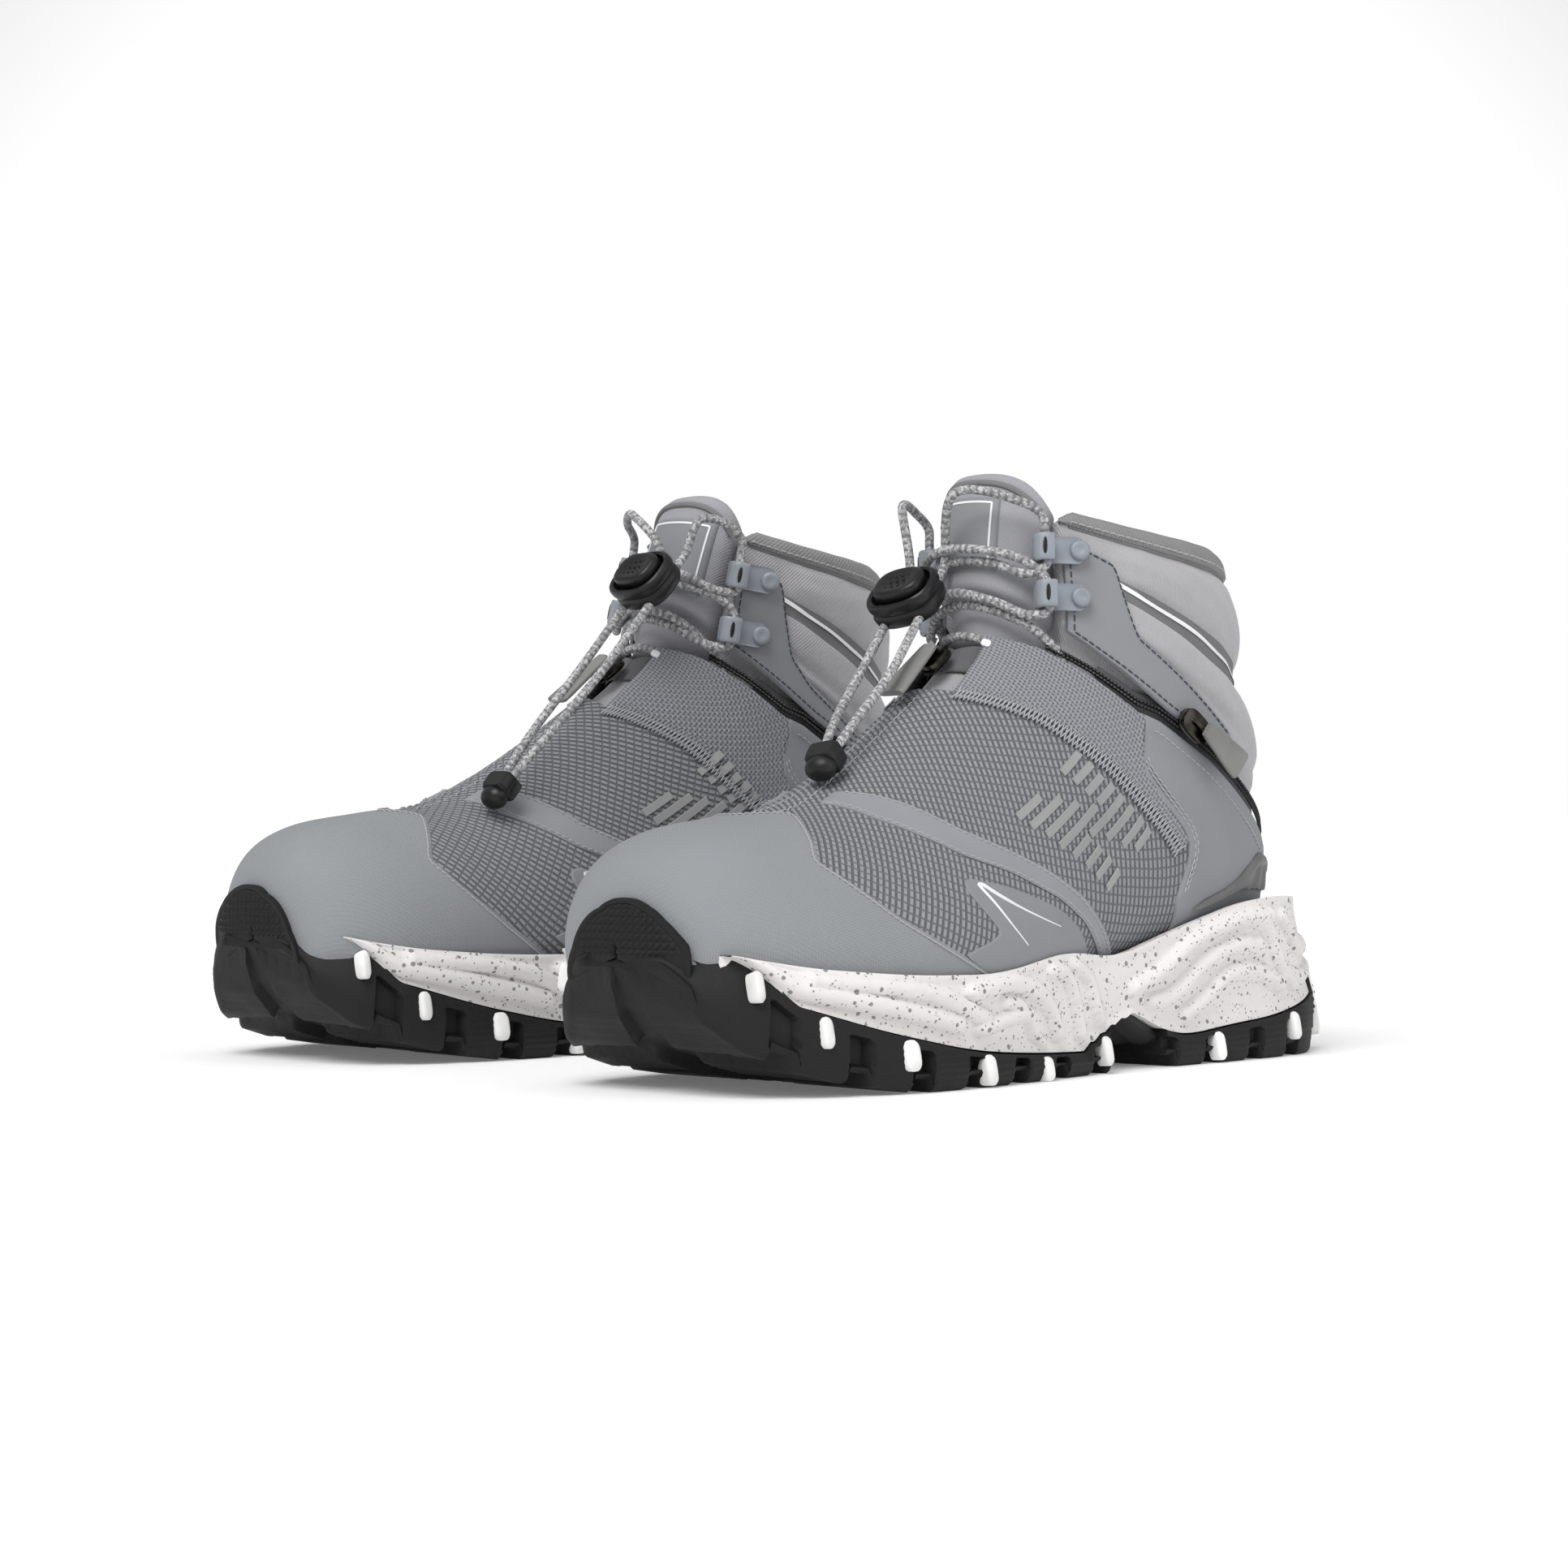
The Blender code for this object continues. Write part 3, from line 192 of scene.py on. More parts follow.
CLIP_CENTRE = {"left": (-4.2, -65.6, 98.2), "right": (-33.4, -71.6, 88.8)}

# Reflective bars on the vamp: (distance, turn) of both ends.
BARS = [
    ((0.599, 0.313), (0.634, 0.313)), ((0.602, 0.335), (0.635, 0.337)), ((0.604, 0.359), (0.634, 0.359)),
    ((0.607, 0.381), (0.637, 0.381)), ((0.519, 0.317), (0.557, 0.315)), ((0.524, 0.341), (0.575, 0.337)),
    ((0.532, 0.366), (0.588, 0.359)), ((0.536, 0.393), (0.602, 0.382)), ((0.575, 0.408), (0.637, 0.402)),
    ((0.588, 0.430), (0.638, 0.424)), ((0.599, 0.455), (0.639, 0.448)), ((0.609, 0.475), (0.638, 0.468)),
    ((0.542, 0.419), (0.572, 0.410)), ((0.548, 0.446), (0.575, 0.435)), ((0.551, 0.473), (0.578, 0.459)),
    ((0.555, 0.502), (0.578, 0.486)),
]


# ---------------------------------------------------------------------------------------------------------
# Sizes and colours that a user would change


class BootSizes(bpy.types.PropertyGroup):
    """Sizes of the finer pieces."""

    lace_diameter: bpy.props.FloatProperty(
        name="Lace diameter", description="Thickness of the elastic lace", default=0.0030, unit="LENGTH")
    stitch_length: bpy.props.FloatProperty(
        name="Stitch length", description="Length of one visible stitch", default=0.0023, unit="LENGTH")
    bar_width: bpy.props.FloatProperty(
        name="Bar width", description="Width of a reflective bar", default=0.0030, unit="LENGTH")
    camera_distance: bpy.props.FloatProperty(
        name="Camera distance", description="From the pair's centre to the camera", default=1.30376,
        unit="LENGTH")


def colour_property(name, description, default):
    """A colour setting with a swatch."""
    return bpy.props.FloatVectorProperty(
        name=name, description=description, default=default, subtype="COLOR", size=3, min=0.0, max=1.0)


class BootColours(bpy.types.PropertyGroup):
    """Base colours of the cloths and the foam."""

    toe_cap: colour_property("Toe cap", "Coated canvas of the toe cap", (0.262, 0.275, 0.29))
    mesh: colour_property("Vamp mesh", "Ripstop cloth of the vamp", (0.24, 0.247, 0.262))
    smooth: colour_property("Smooth panels", "Coated cloth of the quarter and the bands",
                            (0.23, 0.238, 0.255))
    elastic: colour_property("Elastic", "Stretch panels over the instep", (0.27, 0.275, 0.30))
    shaft: colour_property("Shaft", "Shiny knit of the padded shaft", (0.47, 0.46, 0.48))
    tongue: colour_property("Tongue", "Knit of the tongue", (0.38, 0.38, 0.41))
    foam: colour_property("Midsole foam", "Pale foam of the midsole", (0.74, 0.72, 0.71))
    rubber: colour_property("Outsole rubber", "Black rubber of the outsole", (0.012, 0.0115, 0.012))


def sizes():
    """The scene's size settings."""
    return bpy.context.scene.boot_sizes


def colours():
    """The scene's colour settings."""
    return bpy.context.scene.boot_colours


# ---------------------------------------------------------------------------------------------------------
# Shapes


def curve(points, at):
    """The value at each place of a line through (place, value) points."""
    x, y = np.array(points, float).T
    return np.interp(at, x, y)


def rounded_curve(points, at):
    """As curve, eased at the corners by the mean of five close places."""
    at = np.asarray(at, float)
    spread = np.array([-0.012, -0.006, 0.0, 0.006, 0.012])
    return np.mean([curve(points, at + d) for d in spread], axis=0)


def smooth_line(points, count):
    """count points of a Catmull-Rom curve through the given points, evenly spread over its parameter."""
    p = np.array(points, float)
    slope = np.gradient(p, axis=0)
    u = np.linspace(0, len(p) - 1, count)
    i = np.minimum(u.astype(int), len(p) - 2)
    f = (u - i)[:, None]
    return (
        (2 * f**3 - 3 * f**2 + 1) * p[i]
        + (f**3 - 2 * f**2 + f) * slope[i]
        + (3 * f**2 - 2 * f**3) * p[i + 1]
        + (f**3 - f**2) * slope[i + 1]
    )


def outward_steps():
    """How each column of SECTIONS changes for each mm outwards from the surface."""
    steps = np.zeros_like(SECTIONS)
    for y, z, sign in ((0, 1, -1.0), (2, 3, 1.0)):
        run = np.gradient(SECTIONS[:, [y, z]], axis=0)
        run[0] = (0, 1) if sign < 0 else (0, -1)
        run /= np.linalg.norm(run, axis=1)[:, None]
        steps[:, y] = sign * run[:, 1]
        steps[:, z] = -sign * run[:, 0]
    steps[1:, 4:6] = 1.0
    return steps


OUTWARD = outward_steps()
SLOPES = np.gradient(SECTIONS, axis=0)
OUTWARD_SLOPES = np.gradient(OUTWARD, axis=0)


def surface(s, t, off=0.0):
    """Points of the upper, moved outwards by off mm: cubic Hermite rows of SECTIONS, each row a rounded
    section whose height falls as a cosine of the turn and whose width is a power of its sine."""
    s, t, off = np.broadcast_arrays(np.asarray(s, float), np.asarray(t, float), np.asarray(off, float))
    u = np.clip(s, 0, 1) * (len(SECTIONS) - 1)
    i = np.minimum(u.astype(int), len(SECTIONS) - 2)
    f = (u - i)[..., None]
    weights = (2 * f**3 - 3 * f**2 + 1, f**3 - 2 * f**2 + f, 3 * f**2 - 2 * f**3, f**3 - f**2)

    def blend(values, slopes):
        a, b, c, d = weights
        return a * values[i] + b * slopes[i] + c * values[i + 1] + d * slopes[i + 1]

    row = blend(SECTIONS, SLOPES) + off[..., None] * blend(OUTWARD, OUTWARD_SLOPES)
    angle = math.pi * t
    down = (1 - np.cos(angle)) / 2
    down = down * (1 + row[..., 8] * (1 - down))
    side = np.sin(angle)
    half = np.where(side >= 0, row[..., 4], row[..., 5])
    x = row[..., 6] + (row[..., 7] - row[..., 6]) * down
    x = x + half * np.sign(side) * np.abs(side) ** row[..., 9]
    y = row[..., 0] + (row[..., 2] - row[..., 0]) * down
    z = row[..., 1] + (row[..., 3] - row[..., 1]) * down
    return np.stack([x, y, z], -1)


def outward(s, t, off=0.0):
    """Unit vectors that point outwards from the upper."""
    n = surface(s, t, off + 1.0) - surface(s, t, off)
    return n / np.maximum(np.linalg.norm(n, axis=-1, keepdims=True), 1e-9)


def cloth_map(s, t):
    """Metres along the cloth: around the foot from the top line, and along the foot from the toe."""
    share = np.linspace(0, 1, 14)
    around = surface(s[..., None], t[..., None] * share)
    u = np.linalg.norm(np.diff(around, axis=-2), axis=-1).sum(-1) * np.sign(t)
    line = np.linspace(0, 1, 300)
    steps = np.linalg.norm(np.diff(surface(line, 0.3), axis=0), axis=-1)
    v = np.interp(s, line, np.concatenate([[0], np.cumsum(steps)]))
    return np.stack([u, v], -1) * MM


def frame_on(s, t, off):
    """A place on the upper: its point, and its across, up and outward axes as columns."""
    step = 0.004
    up = surface(s + step, t, off) - surface(s - step, t, off)
    across = surface(s, t + step, off) - surface(s, t - step, off)
    out = np.cross(across, up)
    up /= np.linalg.norm(up)
    out /= np.linalg.norm(out)
    return surface(s, t, off), np.column_stack([np.cross(up, out), up, out])


def step_up(value, start, end):
    """0 below start and 1 past end, with an even rise."""
    return np.clip((value - start) / (end - start), 0.0, 1.0)


def ease(value, start, end):
    """0 below start and 1 past end, with a soft start and stop."""
    x = step_up(value, start, end)
    return x * x * (3 - 2 * x)


def hill(value, centre, half):
    """A round hill, 1 at its centre and 0 from half away on."""
    return np.sqrt(np.clip(1 - ((value - centre) / half) ** 2, 0, 1))


def to_row(points, side):
    """A boot's millimetres to the row's metres: turned by the toe-out, moved out, mirrored on the right."""
    p = np.asarray(points, float)
    c, s = math.cos(TOE_OUT), math.sin(TOE_OUT)
    x = c * p[..., 0] - s * p[..., 1] + BOOT_SPACING / 2
    y = s * p[..., 0] + c * p[..., 1]
    sign = 1.0 if side == "left" else -1.0
    return np.stack([sign * x, y, p[..., 2]], -1) * MM


def grid_faces(rows, columns, wrap=False, start=0):
    """Quads of a grid of points, row by row, closed around its columns or not."""
    r, c = np.meshgrid(np.arange(rows - 1), np.arange(columns if wrap else columns - 1), indexing="ij")
    d = (c + 1) % columns
    quads = np.stack([r * columns + c, r * columns + d, (r + 1) * columns + d, (r + 1) * columns + c], -1)
    return quads.reshape(-1, 4) + start


def add_piece(name, side, points, faces, look, slot, nodes=(), body="boot", uv=None, sharp=45):
    """One finished piece: its mesh from points in mm, its look, its body and the solids it stands for."""
    mesh = bpy.data.meshes.new(f"{side}_{name}_finish")
    faces = faces.tolist() if isinstance(faces, np.ndarray) else faces
    mesh.from_pydata(to_row(points, side).reshape(-1, 3).tolist(), [], faces)
    shape = bmesh.new()
    shape.from_mesh(mesh)
    bmesh.ops.recalc_face_normals(shape, faces=shape.faces)
    shape.to_mesh(mesh)
    shape.free()
    if uv is not None:
        layer = mesh.uv_layers.new(name="UVMap")
        corner = np.empty(len(mesh.loops), np.int32)
        mesh.loops.foreach_get("vertex_index", corner)
        layer.data.foreach_set("uv", np.asarray(uv, np.float32).reshape(-1, 2)[corner].ravel())
    mesh.materials.append(look)
    mesh.shade_smooth()
    mesh.set_sharp_from_angle(angle=math.radians(sharp))
    piece = bpy.data.objects.new(f"{side}_{name}_finish", mesh)
    bpy.context.collection.objects.link(piece)
    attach(piece, f"{side}_{body}")
    if nodes:
        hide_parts(*[f"{side}_{node}" for node in nodes])
    return piece


def shell_points(outer, inner, wrap=False):
    """A closed skin between two grids of points: both grids, and walls along their open edges."""
    rows, columns = outer.shape[:2]
    half = rows * columns
    quads = [grid_faces(rows, columns, wrap), grid_faces(rows, columns, wrap, half)]
    loops = [np.arange(columns), np.arange(half - columns, half)]
    if wrap:
        loops = [np.append(loop, loop[0]) for loop in loops]
    else:
        loops += [np.arange(0, half, columns), np.arange(columns - 1, half, columns)]
    for loop in loops:
        quads.append(np.stack([loop[:-1], loop[1:], loop[1:] + half, loop[:-1] + half], -1))
    return np.concatenate([outer.reshape(-1, 3), inner.reshape(-1, 3)]), np.concatenate(quads)


def even_turns(start, stop, step=1.6, girth=115.0):
    """Turns from start to stop about step mm apart, closer together at both ends."""
    rim = np.array([0.0, 0.35, 0.9]) / girth
    count = max(4, int(abs(stop - start) * girth / step))
    inner = np.linspace(start + 2.2 / girth, stop - 2.2 / girth, count)
    return np.concatenate([start + rim, inner, stop - rim[::-1]])


def cloth_panel(name, side, turns, low, high, off, thick, look, slot, nodes=(), step=1.6, wrap=False,
                roll=1.0, body="boot"):
    """A cloth panel of the upper. Its edges are low(turn) and high(turn); off(s, t) is its outside in mm, and
    the outside curls down by the panel's thickness within roll mm of each edge, as a quarter circle."""
    t = np.asarray(turns, float)
    lo, hi = low(t), high(t)
    length = np.linalg.norm(surface(hi, t) - surface(lo, t), axis=-1)
    mean = max(float(np.median(length)), 3.0)
    rim = np.array([0.0, 0.3, 0.9]) / mean
    share = np.concatenate([rim, np.linspace(2.0 / mean, 1 - 2.0 / mean, max(3, int(mean / step))),
                            1 - rim[::-1]])
    share = np.clip(share, 0, 1)[:, None]
    s = lo + (hi - lo) * share
    tt = np.broadcast_to(t, s.shape)
    edge = np.minimum(share, 1 - share) * length
    if not wrap:
        edge = np.minimum(edge, np.minimum(np.abs(tt - t[0]), np.abs(tt - t[-1])) * 115.0)
    curl = 1 - np.sqrt(np.clip(1 - (1 - np.clip(edge / roll, 0, 1)) ** 2, 0, 1))
    outside = off(s, tt)
    outer = surface(s, tt, outside - 0.8 * thick * curl)
    inner = surface(s, tt, outside - thick)
    points, faces = shell_points(outer, inner, wrap)
    place = cloth_map(s, tt).reshape(-1, 2)
    return add_piece(name, side, points, faces, look, slot, nodes, body, np.concatenate([place, place]))


def level(value):
    """An offset that is the same everywhere."""
    return lambda s, t: np.full(np.shape(s), float(value))


def sweep(paths, normals, section, scale=None):
    """Carries a closed section of (across, up) points along each path; across is square to the path and its
    normal. Paths are (count, points, 3). Each end is closed by one face."""
    paths, section = np.asarray(paths, float), np.asarray(section, float)
    tangent = np.gradient(paths, axis=1)
    tangent /= np.linalg.norm(tangent, axis=-1, keepdims=True)
    across = np.cross(tangent, normals)
    across /= np.linalg.norm(across, axis=-1, keepdims=True)
    up = np.cross(across, tangent)
    count, steps, _ = paths.shape
    sides = len(section)
    scale = np.ones((count, steps)) if scale is None else np.broadcast_to(scale, (count, steps))
    wide = section[:, 0] * scale[..., None]
    high = section[:, 1] * scale[..., None]
    points = paths[:, :, None] + wide[..., None] * across[:, :, None] + high[..., None] * up[:, :, None]
    one = grid_faces(steps, sides, True)
    base = (np.arange(count) * steps * sides)[:, None, None]
    faces = (one[None] + base).reshape(-1, 4).tolist()
    ring = np.arange(sides)
    starts = base[:, :, 0] + ring[::-1]
    stops = base[:, :, 0] + (steps - 1) * sides + ring
    return points.reshape(-1, 3), faces + starts.tolist() + stops.tolist()


def round_section(radius, sides=6, flat=1.0):
    """A circle of points, squeezed in height by flat."""
    a = np.arange(sides) * 2 * math.pi / sides
    return np.column_stack([radius * np.cos(a), radius * flat * np.sin(a)])


def walk(line, off, spacing):
    """Even steps along a smooth line of (distance, turn) points: points, normals and the length in mm."""
    st = smooth_line(line, 40 * len(line))
    points = surface(st[:, 0], st[:, 1], off)
    along = np.concatenate([[0], np.cumsum(np.linalg.norm(np.diff(points, axis=0), axis=-1))])
    at = np.linspace(0, along[-1], max(2, int(along[-1] / spacing) + 1))
    s, t = np.interp(at, along, st[:, 0]), np.interp(at, along, st[:, 1])
    return surface(s, t, off), outward(s, t, off), at


def dashes(line, off, pitch, length):
    """Separate stitches along a line of the upper: paths of five points that dip at both ends."""
    points, normals, at = walk(line, off, 0.5)
    count = max(1, int(at[-1] / pitch))
    begin = (np.arange(count) + 0.5) * at[-1] / count - length / 2
    where = begin[:, None] + np.linspace(0, length, 5)
    path = np.stack([np.interp(where, at, points[:, k]) for k in range(3)], -1)
    normal = np.stack([np.interp(where, at, normals[:, k]) for k in range(3)], -1)
    dip = np.array([-0.35, 0.05, 0.15, 0.05, -0.35])[:, None]
    return path + normal * dip, normal


def add_stitches(name, side, lines, look, slot, pitch=3.2, radius=0.36, length=None):
    """Rows of stitches along (line, offset) pairs, as one piece."""
    length = length or sizes().stitch_length / MM
    paths, normals = zip(*[dashes(line, off, pitch, length) for line, off in lines])
    points, faces = sweep(np.concatenate(paths), np.concatenate(normals), round_section(radius))
    return add_piece(name, side, points, faces, look, slot)


def placed(points, place):
    """Points of a place's own frame in the boot's frame."""
    origin, axes = place
    return np.asarray(origin) + np.asarray(points, float) @ np.asarray(axes).T


def rings_piece(rings):
    """A closed solid through rings of equal length, with a face at each end."""
    rings = np.asarray(rings, float)
    count, size = rings.shape[:2]
    faces = grid_faces(count, size, True).tolist()
    faces += [list(range(size))[::-1], list(range((count - 1) * size, count * size))]
    return rings.reshape(-1, 3), faces


def join_parts(parts):
    """Several (points, faces) shapes as one."""
    points, faces, start = [], [], 0
    for p, f in parts:
        f = f.tolist() if isinstance(f, np.ndarray) else f
        points.append(np.asarray(p).reshape(-1, 3))
        faces += [[i + start for i in face] for face in f]
        start += len(points[-1])
    return np.concatenate(points), faces


def blob(width, height, layers, power=0.75, sides=40, centre=(0.0, 0.0)):
    """A rounded block: a superellipse outline at each (height, scale) layer."""
    a = np.arange(sides) * 2 * math.pi / sides
    x = np.sign(np.cos(a)) * np.abs(np.cos(a)) ** power * width / 2
    y = np.sign(np.sin(a)) * np.abs(np.sin(a)) ** power * height / 2
    rings = [np.column_stack([x * k + centre[0], y * k + centre[1], np.full(sides, z)]) for z, k in layers]
    return rings_piece(rings)


def tube(points, radius, sides=12, wide=1.0):
    """A round tube along a free path; each ring is turned on from the last one without twist."""
    p = np.asarray(points, float)
    tangent = np.gradient(p, axis=0)
    tangent /= np.linalg.norm(tangent, axis=-1, keepdims=True)
    side = np.cross(tangent[0], [0.0, 0.3, 1.0])
    sides_at = []
    for d in tangent:
        side = side - d * np.dot(side, d)
        side /= np.linalg.norm(side)
        sides_at.append(side)
    across = np.array(sides_at)
    up = np.cross(tangent, across)
    a = np.arange(sides) * 2 * math.pi / sides
    r = np.broadcast_to(radius, len(p))[:, None, None]
    rings = p[:, None] + r * (wide * np.cos(a)[:, None] * across[:, None] + np.sin(a)[:, None] * up[:, None])
    return rings_piece(rings)


# ---------------------------------------------------------------------------------------------------------
# Materials


class Nodes:
    """Short calls that add nodes to one tree and link them."""

    def __init__(self, tree):
        self.tree = tree

    def add(self, kind, *inputs, **settings):
        """A node with its inputs given in order: numbers, vectors, sockets, or None to leave one alone."""
        node = self.tree.nodes.new(f"ShaderNode{kind}")
        for key, value in settings.items():
            setattr(node, key, value)
        for socket, value in zip(node.inputs, inputs):
            if isinstance(value, bpy.types.NodeSocket):
                self.tree.links.new(value, socket)
            elif value is not None:
                socket.default_value = value
        return node

    def math(self, operation, *inputs):
        """A Math node."""
        return self.add("Math", *inputs, operation=operation).outputs[0]

    def mix(self, factor, first, second):
        """A colour between two others."""
        node = self.tree.nodes.new("ShaderNodeMix")
        node.data_type = "RGBA"
        for socket, value in ((node.inputs[0], factor), (node.inputs[6], first), (node.inputs[7], second)):
            if isinstance(value, bpy.types.NodeSocket):
                self.tree.links.new(value, socket)
            else:
                socket.default_value = (*value, 1.0) if isinstance(value, tuple) else value
        return node.outputs[2]

    def group(self, name, vector, *values):
        """A shared effect, with its own values."""
        node = self.tree.nodes.new("ShaderNodeGroup")
        node.node_tree = bpy.data.node_groups[name]
        self.tree.links.new(vector, node.inputs[0])
        for socket, value in zip(list(node.inputs)[1:], values):
            socket.default_value = value
        return node.outputs

    def uv(self):
        """Metres along the piece's own cloth."""
        return self.add("UVMap", uv_map="UVMap").outputs[0]

    def place(self):
        """The place on the object."""
        return self.add("TexCoord").outputs["Object"]


def new_group(name, inputs, outputs):
    """An empty node group with a Vector input, number inputs with their defaults, and number outputs."""
    tree = bpy.data.node_groups.new(name, "ShaderNodeTree")
    tree.interface.new_socket("Vector", in_out="INPUT", socket_type="NodeSocketVector")
    for label, default in inputs:
        socket = tree.interface.new_socket(label, in_out="INPUT", socket_type="NodeSocketFloat")
        socket.default_value = default
    for label in outputs:
        tree.interface.new_socket(label, in_out="OUTPUT", socket_type="NodeSocketFloat")
    entry = tree.nodes.new("NodeGroupInput")
    leave = tree.nodes.new("NodeGroupOutput")
    return Nodes(tree), entry.outputs, leave.inputs


def weave_group():
    """Plain weave: warp and weft threads as half sines that take turns on top, square by square."""
    n, given, result = new_group("plain_weave", [("Warp", 1400.0), ("Weft", 1400.0)], ["Height", "Gap"])
    u, v, _ = n.add("SeparateXYZ", given[0]).outputs
    across, along = n.math("MULTIPLY", u, given[1]), n.math("MULTIPLY", v, given[2])
    warp = n.math("ABSOLUTE", n.math("SINE", n.math("MULTIPLY", across, math.pi)))
    weft = n.math("ABSOLUTE", n.math("SINE", n.math("MULTIPLY", along, math.pi)))
    square = n.math("ADD", n.math("FLOOR", across), n.math("FLOOR", along))
    turn = n.math("PINGPONG", square, 1.0)
    height = n.math("ADD", n.math("MULTIPLY", warp, turn),
                    n.math("MULTIPLY", weft, n.math("SUBTRACT", 1.0, turn)))
    n.tree.links.new(height, result[0])
    n.tree.links.new(n.math("MULTIPLY", n.math("SUBTRACT", 1.0, warp), n.math("SUBTRACT", 1.0, weft)),
                     result[1])


def ripstop_group():
    """Ripstop mesh: raised cells between sunk rows, crossed by thin columns, every row shifted a little."""
    n, given, result = new_group("ripstop", [("Columns", 330.0), ("Rows", 440.0)],
                                 ["Row", "Column", "Height"])
    u, v, _ = n.add("SeparateXYZ", given[0]).outputs
    wobble = n.add("TexNoise", given[0], None, 90.0, 2.0).outputs[0]
    shift = n.math("MULTIPLY", n.math("SUBTRACT", wobble, 0.5), 0.35)
    slanted = n.math("ADD", n.math("MULTIPLY", u, 0.64), n.math("MULTIPLY", v, 0.77))
    crossing = n.math("SUBTRACT", n.math("MULTIPLY", u, 0.77), n.math("MULTIPLY", v, 0.64))
    across = n.math("FRACT", n.math("ADD", n.math("MULTIPLY", crossing, given[1]), shift))
    along = n.math("FRACT", n.math("ADD", n.math("MULTIPLY", slanted, given[2]), shift))
    row = n.math("SMOOTH_MIN", n.math("MULTIPLY", n.math("PINGPONG", along, 0.5), 2.0), 1.0, 0.2)
    column = n.math("MULTIPLY", n.math("PINGPONG", across, 0.5), 2.0)
    row_mask = n.add("MapRange", row, 0.28, 0.5, 1.0, 0.0).outputs[0]
    column_mask = n.add("MapRange", column, 0.1, 0.3, 1.0, 0.0).outputs[0]
    n.tree.links.new(row_mask, result[0])
    n.tree.links.new(column_mask, result[1])
    n.tree.links.new(n.math("SUBTRACT", 1.0,
                            n.math("MAXIMUM", row_mask, n.math("MULTIPLY", column_mask, 0.6))),
                     result[2])


def speckle_group():
    """Round specks: cells of a Voronoi pattern whose own random value decides whether and how large."""
    n, given, result = new_group("specks", [("Scale", 300.0), ("Share", 0.3)], ["Mask"])
    cell = n.add("TexVoronoi", given[0], None, 1.0, feature="F1")
    n.tree.links.new(given[1], cell.inputs["Scale"])
    red, green, _ = n.add("SeparateXYZ", cell.outputs["Color"]).outputs
    radius = n.math("MULTIPLY", n.math("MULTIPLY", green, 0.34), n.math("LESS_THAN", red, given[2]))
    n.tree.links.new(n.math("LESS_THAN", cell.outputs["Distance"], radius), result[0])


def mottle_group():
    """Slow, soft variation over a few centimetres, between 0 and 1."""
    n, given, result = new_group("mottle", [("Scale", 40.0), ("Contrast", 1.0)], ["Value"])
    noise = n.add("TexNoise", given[0], None, 1.0, 3.0)
    n.tree.links.new(given[1], noise.inputs["Scale"])
    centred = n.math("MULTIPLY", n.math("SUBTRACT", noise.outputs[0], 0.5), given[2])
    n.tree.links.new(n.math("ADD", centred, 0.5), result[0])


def twill_group():
    """Slanted fine ribs of a knit or a twill, broken by a little noise."""
    n, given, result = new_group("ribs", [("Ribs", 900.0), ("Slant", 0.6)], ["Height"])
    u, v, _ = n.add("SeparateXYZ", given[0]).outputs
    line = n.math("ADD", u, n.math("MULTIPLY", v, given[2]))
    wave = n.math("SINE", n.math("MULTIPLY", n.math("MULTIPLY", line, given[1]), 2 * math.pi))
    noise = n.add("TexNoise", given[0], None, 1500.0, 2.0).outputs[0]
    n.tree.links.new(n.math("ADD", n.math("MULTIPLY", wave, 0.35), noise), result[0])


def make_groups():
    """All shared effects."""
    weave_group()
    ripstop_group()
    speckle_group()
    mottle_group()
    twill_group()


def finish_look(name, build, roughness, metallic=0.0, sheen=0.0, bump=0.0002, specular=0.5, coat=0.0):
    """A Principled material whose colour and height come from build(nodes)."""
    look = bpy.data.materials.new(name)
    look.use_nodes = True
    n = Nodes(look.node_tree)
    shader = look.node_tree.nodes["Principled BSDF"]
    colour, height, rough = build(n)
    if isinstance(colour, bpy.types.NodeSocket):
        look.node_tree.links.new(colour, shader.inputs["Base Color"])
    else:
        shader.inputs["Base Color"].default_value = (*colour, 1.0)
    shader.inputs["Roughness"].default_value = roughness
    if rough is not None:
        spread = n.add("MapRange", rough, 0.0, 1.0, max(roughness - 0.12, 0.05), min(roughness + 0.12, 1.0))
        look.node_tree.links.new(spread.outputs[0], shader.inputs["Roughness"])
    shader.inputs["Metallic"].default_value = metallic
    shader.inputs["Sheen Weight"].default_value = sheen
    shader.inputs["Specular IOR Level"].default_value = specular
    shader.inputs["Coat Weight"].default_value = coat
    if height is not None:
        node = look.node_tree.nodes.new("ShaderNodeBump")
        node.inputs["Distance"].default_value = bump
        node.inputs["Strength"].default_value = 1.0
        look.node_tree.links.new(height, node.inputs["Height"])
        look.node_tree.links.new(node.outputs[0], shader.inputs["Normal"])
    return look


def tint(colour, factor):
    """A colour made lighter or darker."""
    return tuple(min(1.0, c * factor) for c in colour)


def canvas(n, base, threads=1250.0):
    """Coated plain weave: dark gaps, and slow variation of shade."""
    height, gap = n.group("plain_weave", n.uv(), threads, threads)
    slow = n.group("mottle", n.place(), 30.0, 1.0)[0]
    shade = n.mix(slow, tint(base, 0.93), tint(base, 1.07))
    return n.mix(n.math("MULTIPLY", gap, 0.55), shade, tint(base, 0.45)), height, slow


def ripstop(n, base):
    """Ripstop mesh: light cells with a fine weave, dark dashed rows and thin columns."""
    row, column, cells = n.group("ripstop", n.uv(), 330.0, 470.0)
    fine, _ = n.group("plain_weave", n.uv(), 2200.0, 2200.0)
    light = n.mix(fine, tint(base, 0.85), tint(base, 1.25))
    lined = n.mix(n.math("MULTIPLY", column, 0.9), light, tint(base, 0.5))
    dashed = n.math("MULTIPLY", row, n.math("SUBTRACT", 1.0, n.math("MULTIPLY", column, 0.6)))
    return n.mix(n.math("MULTIPLY", dashed, 0.85), lined, tint(base, 0.3)), cells, fine


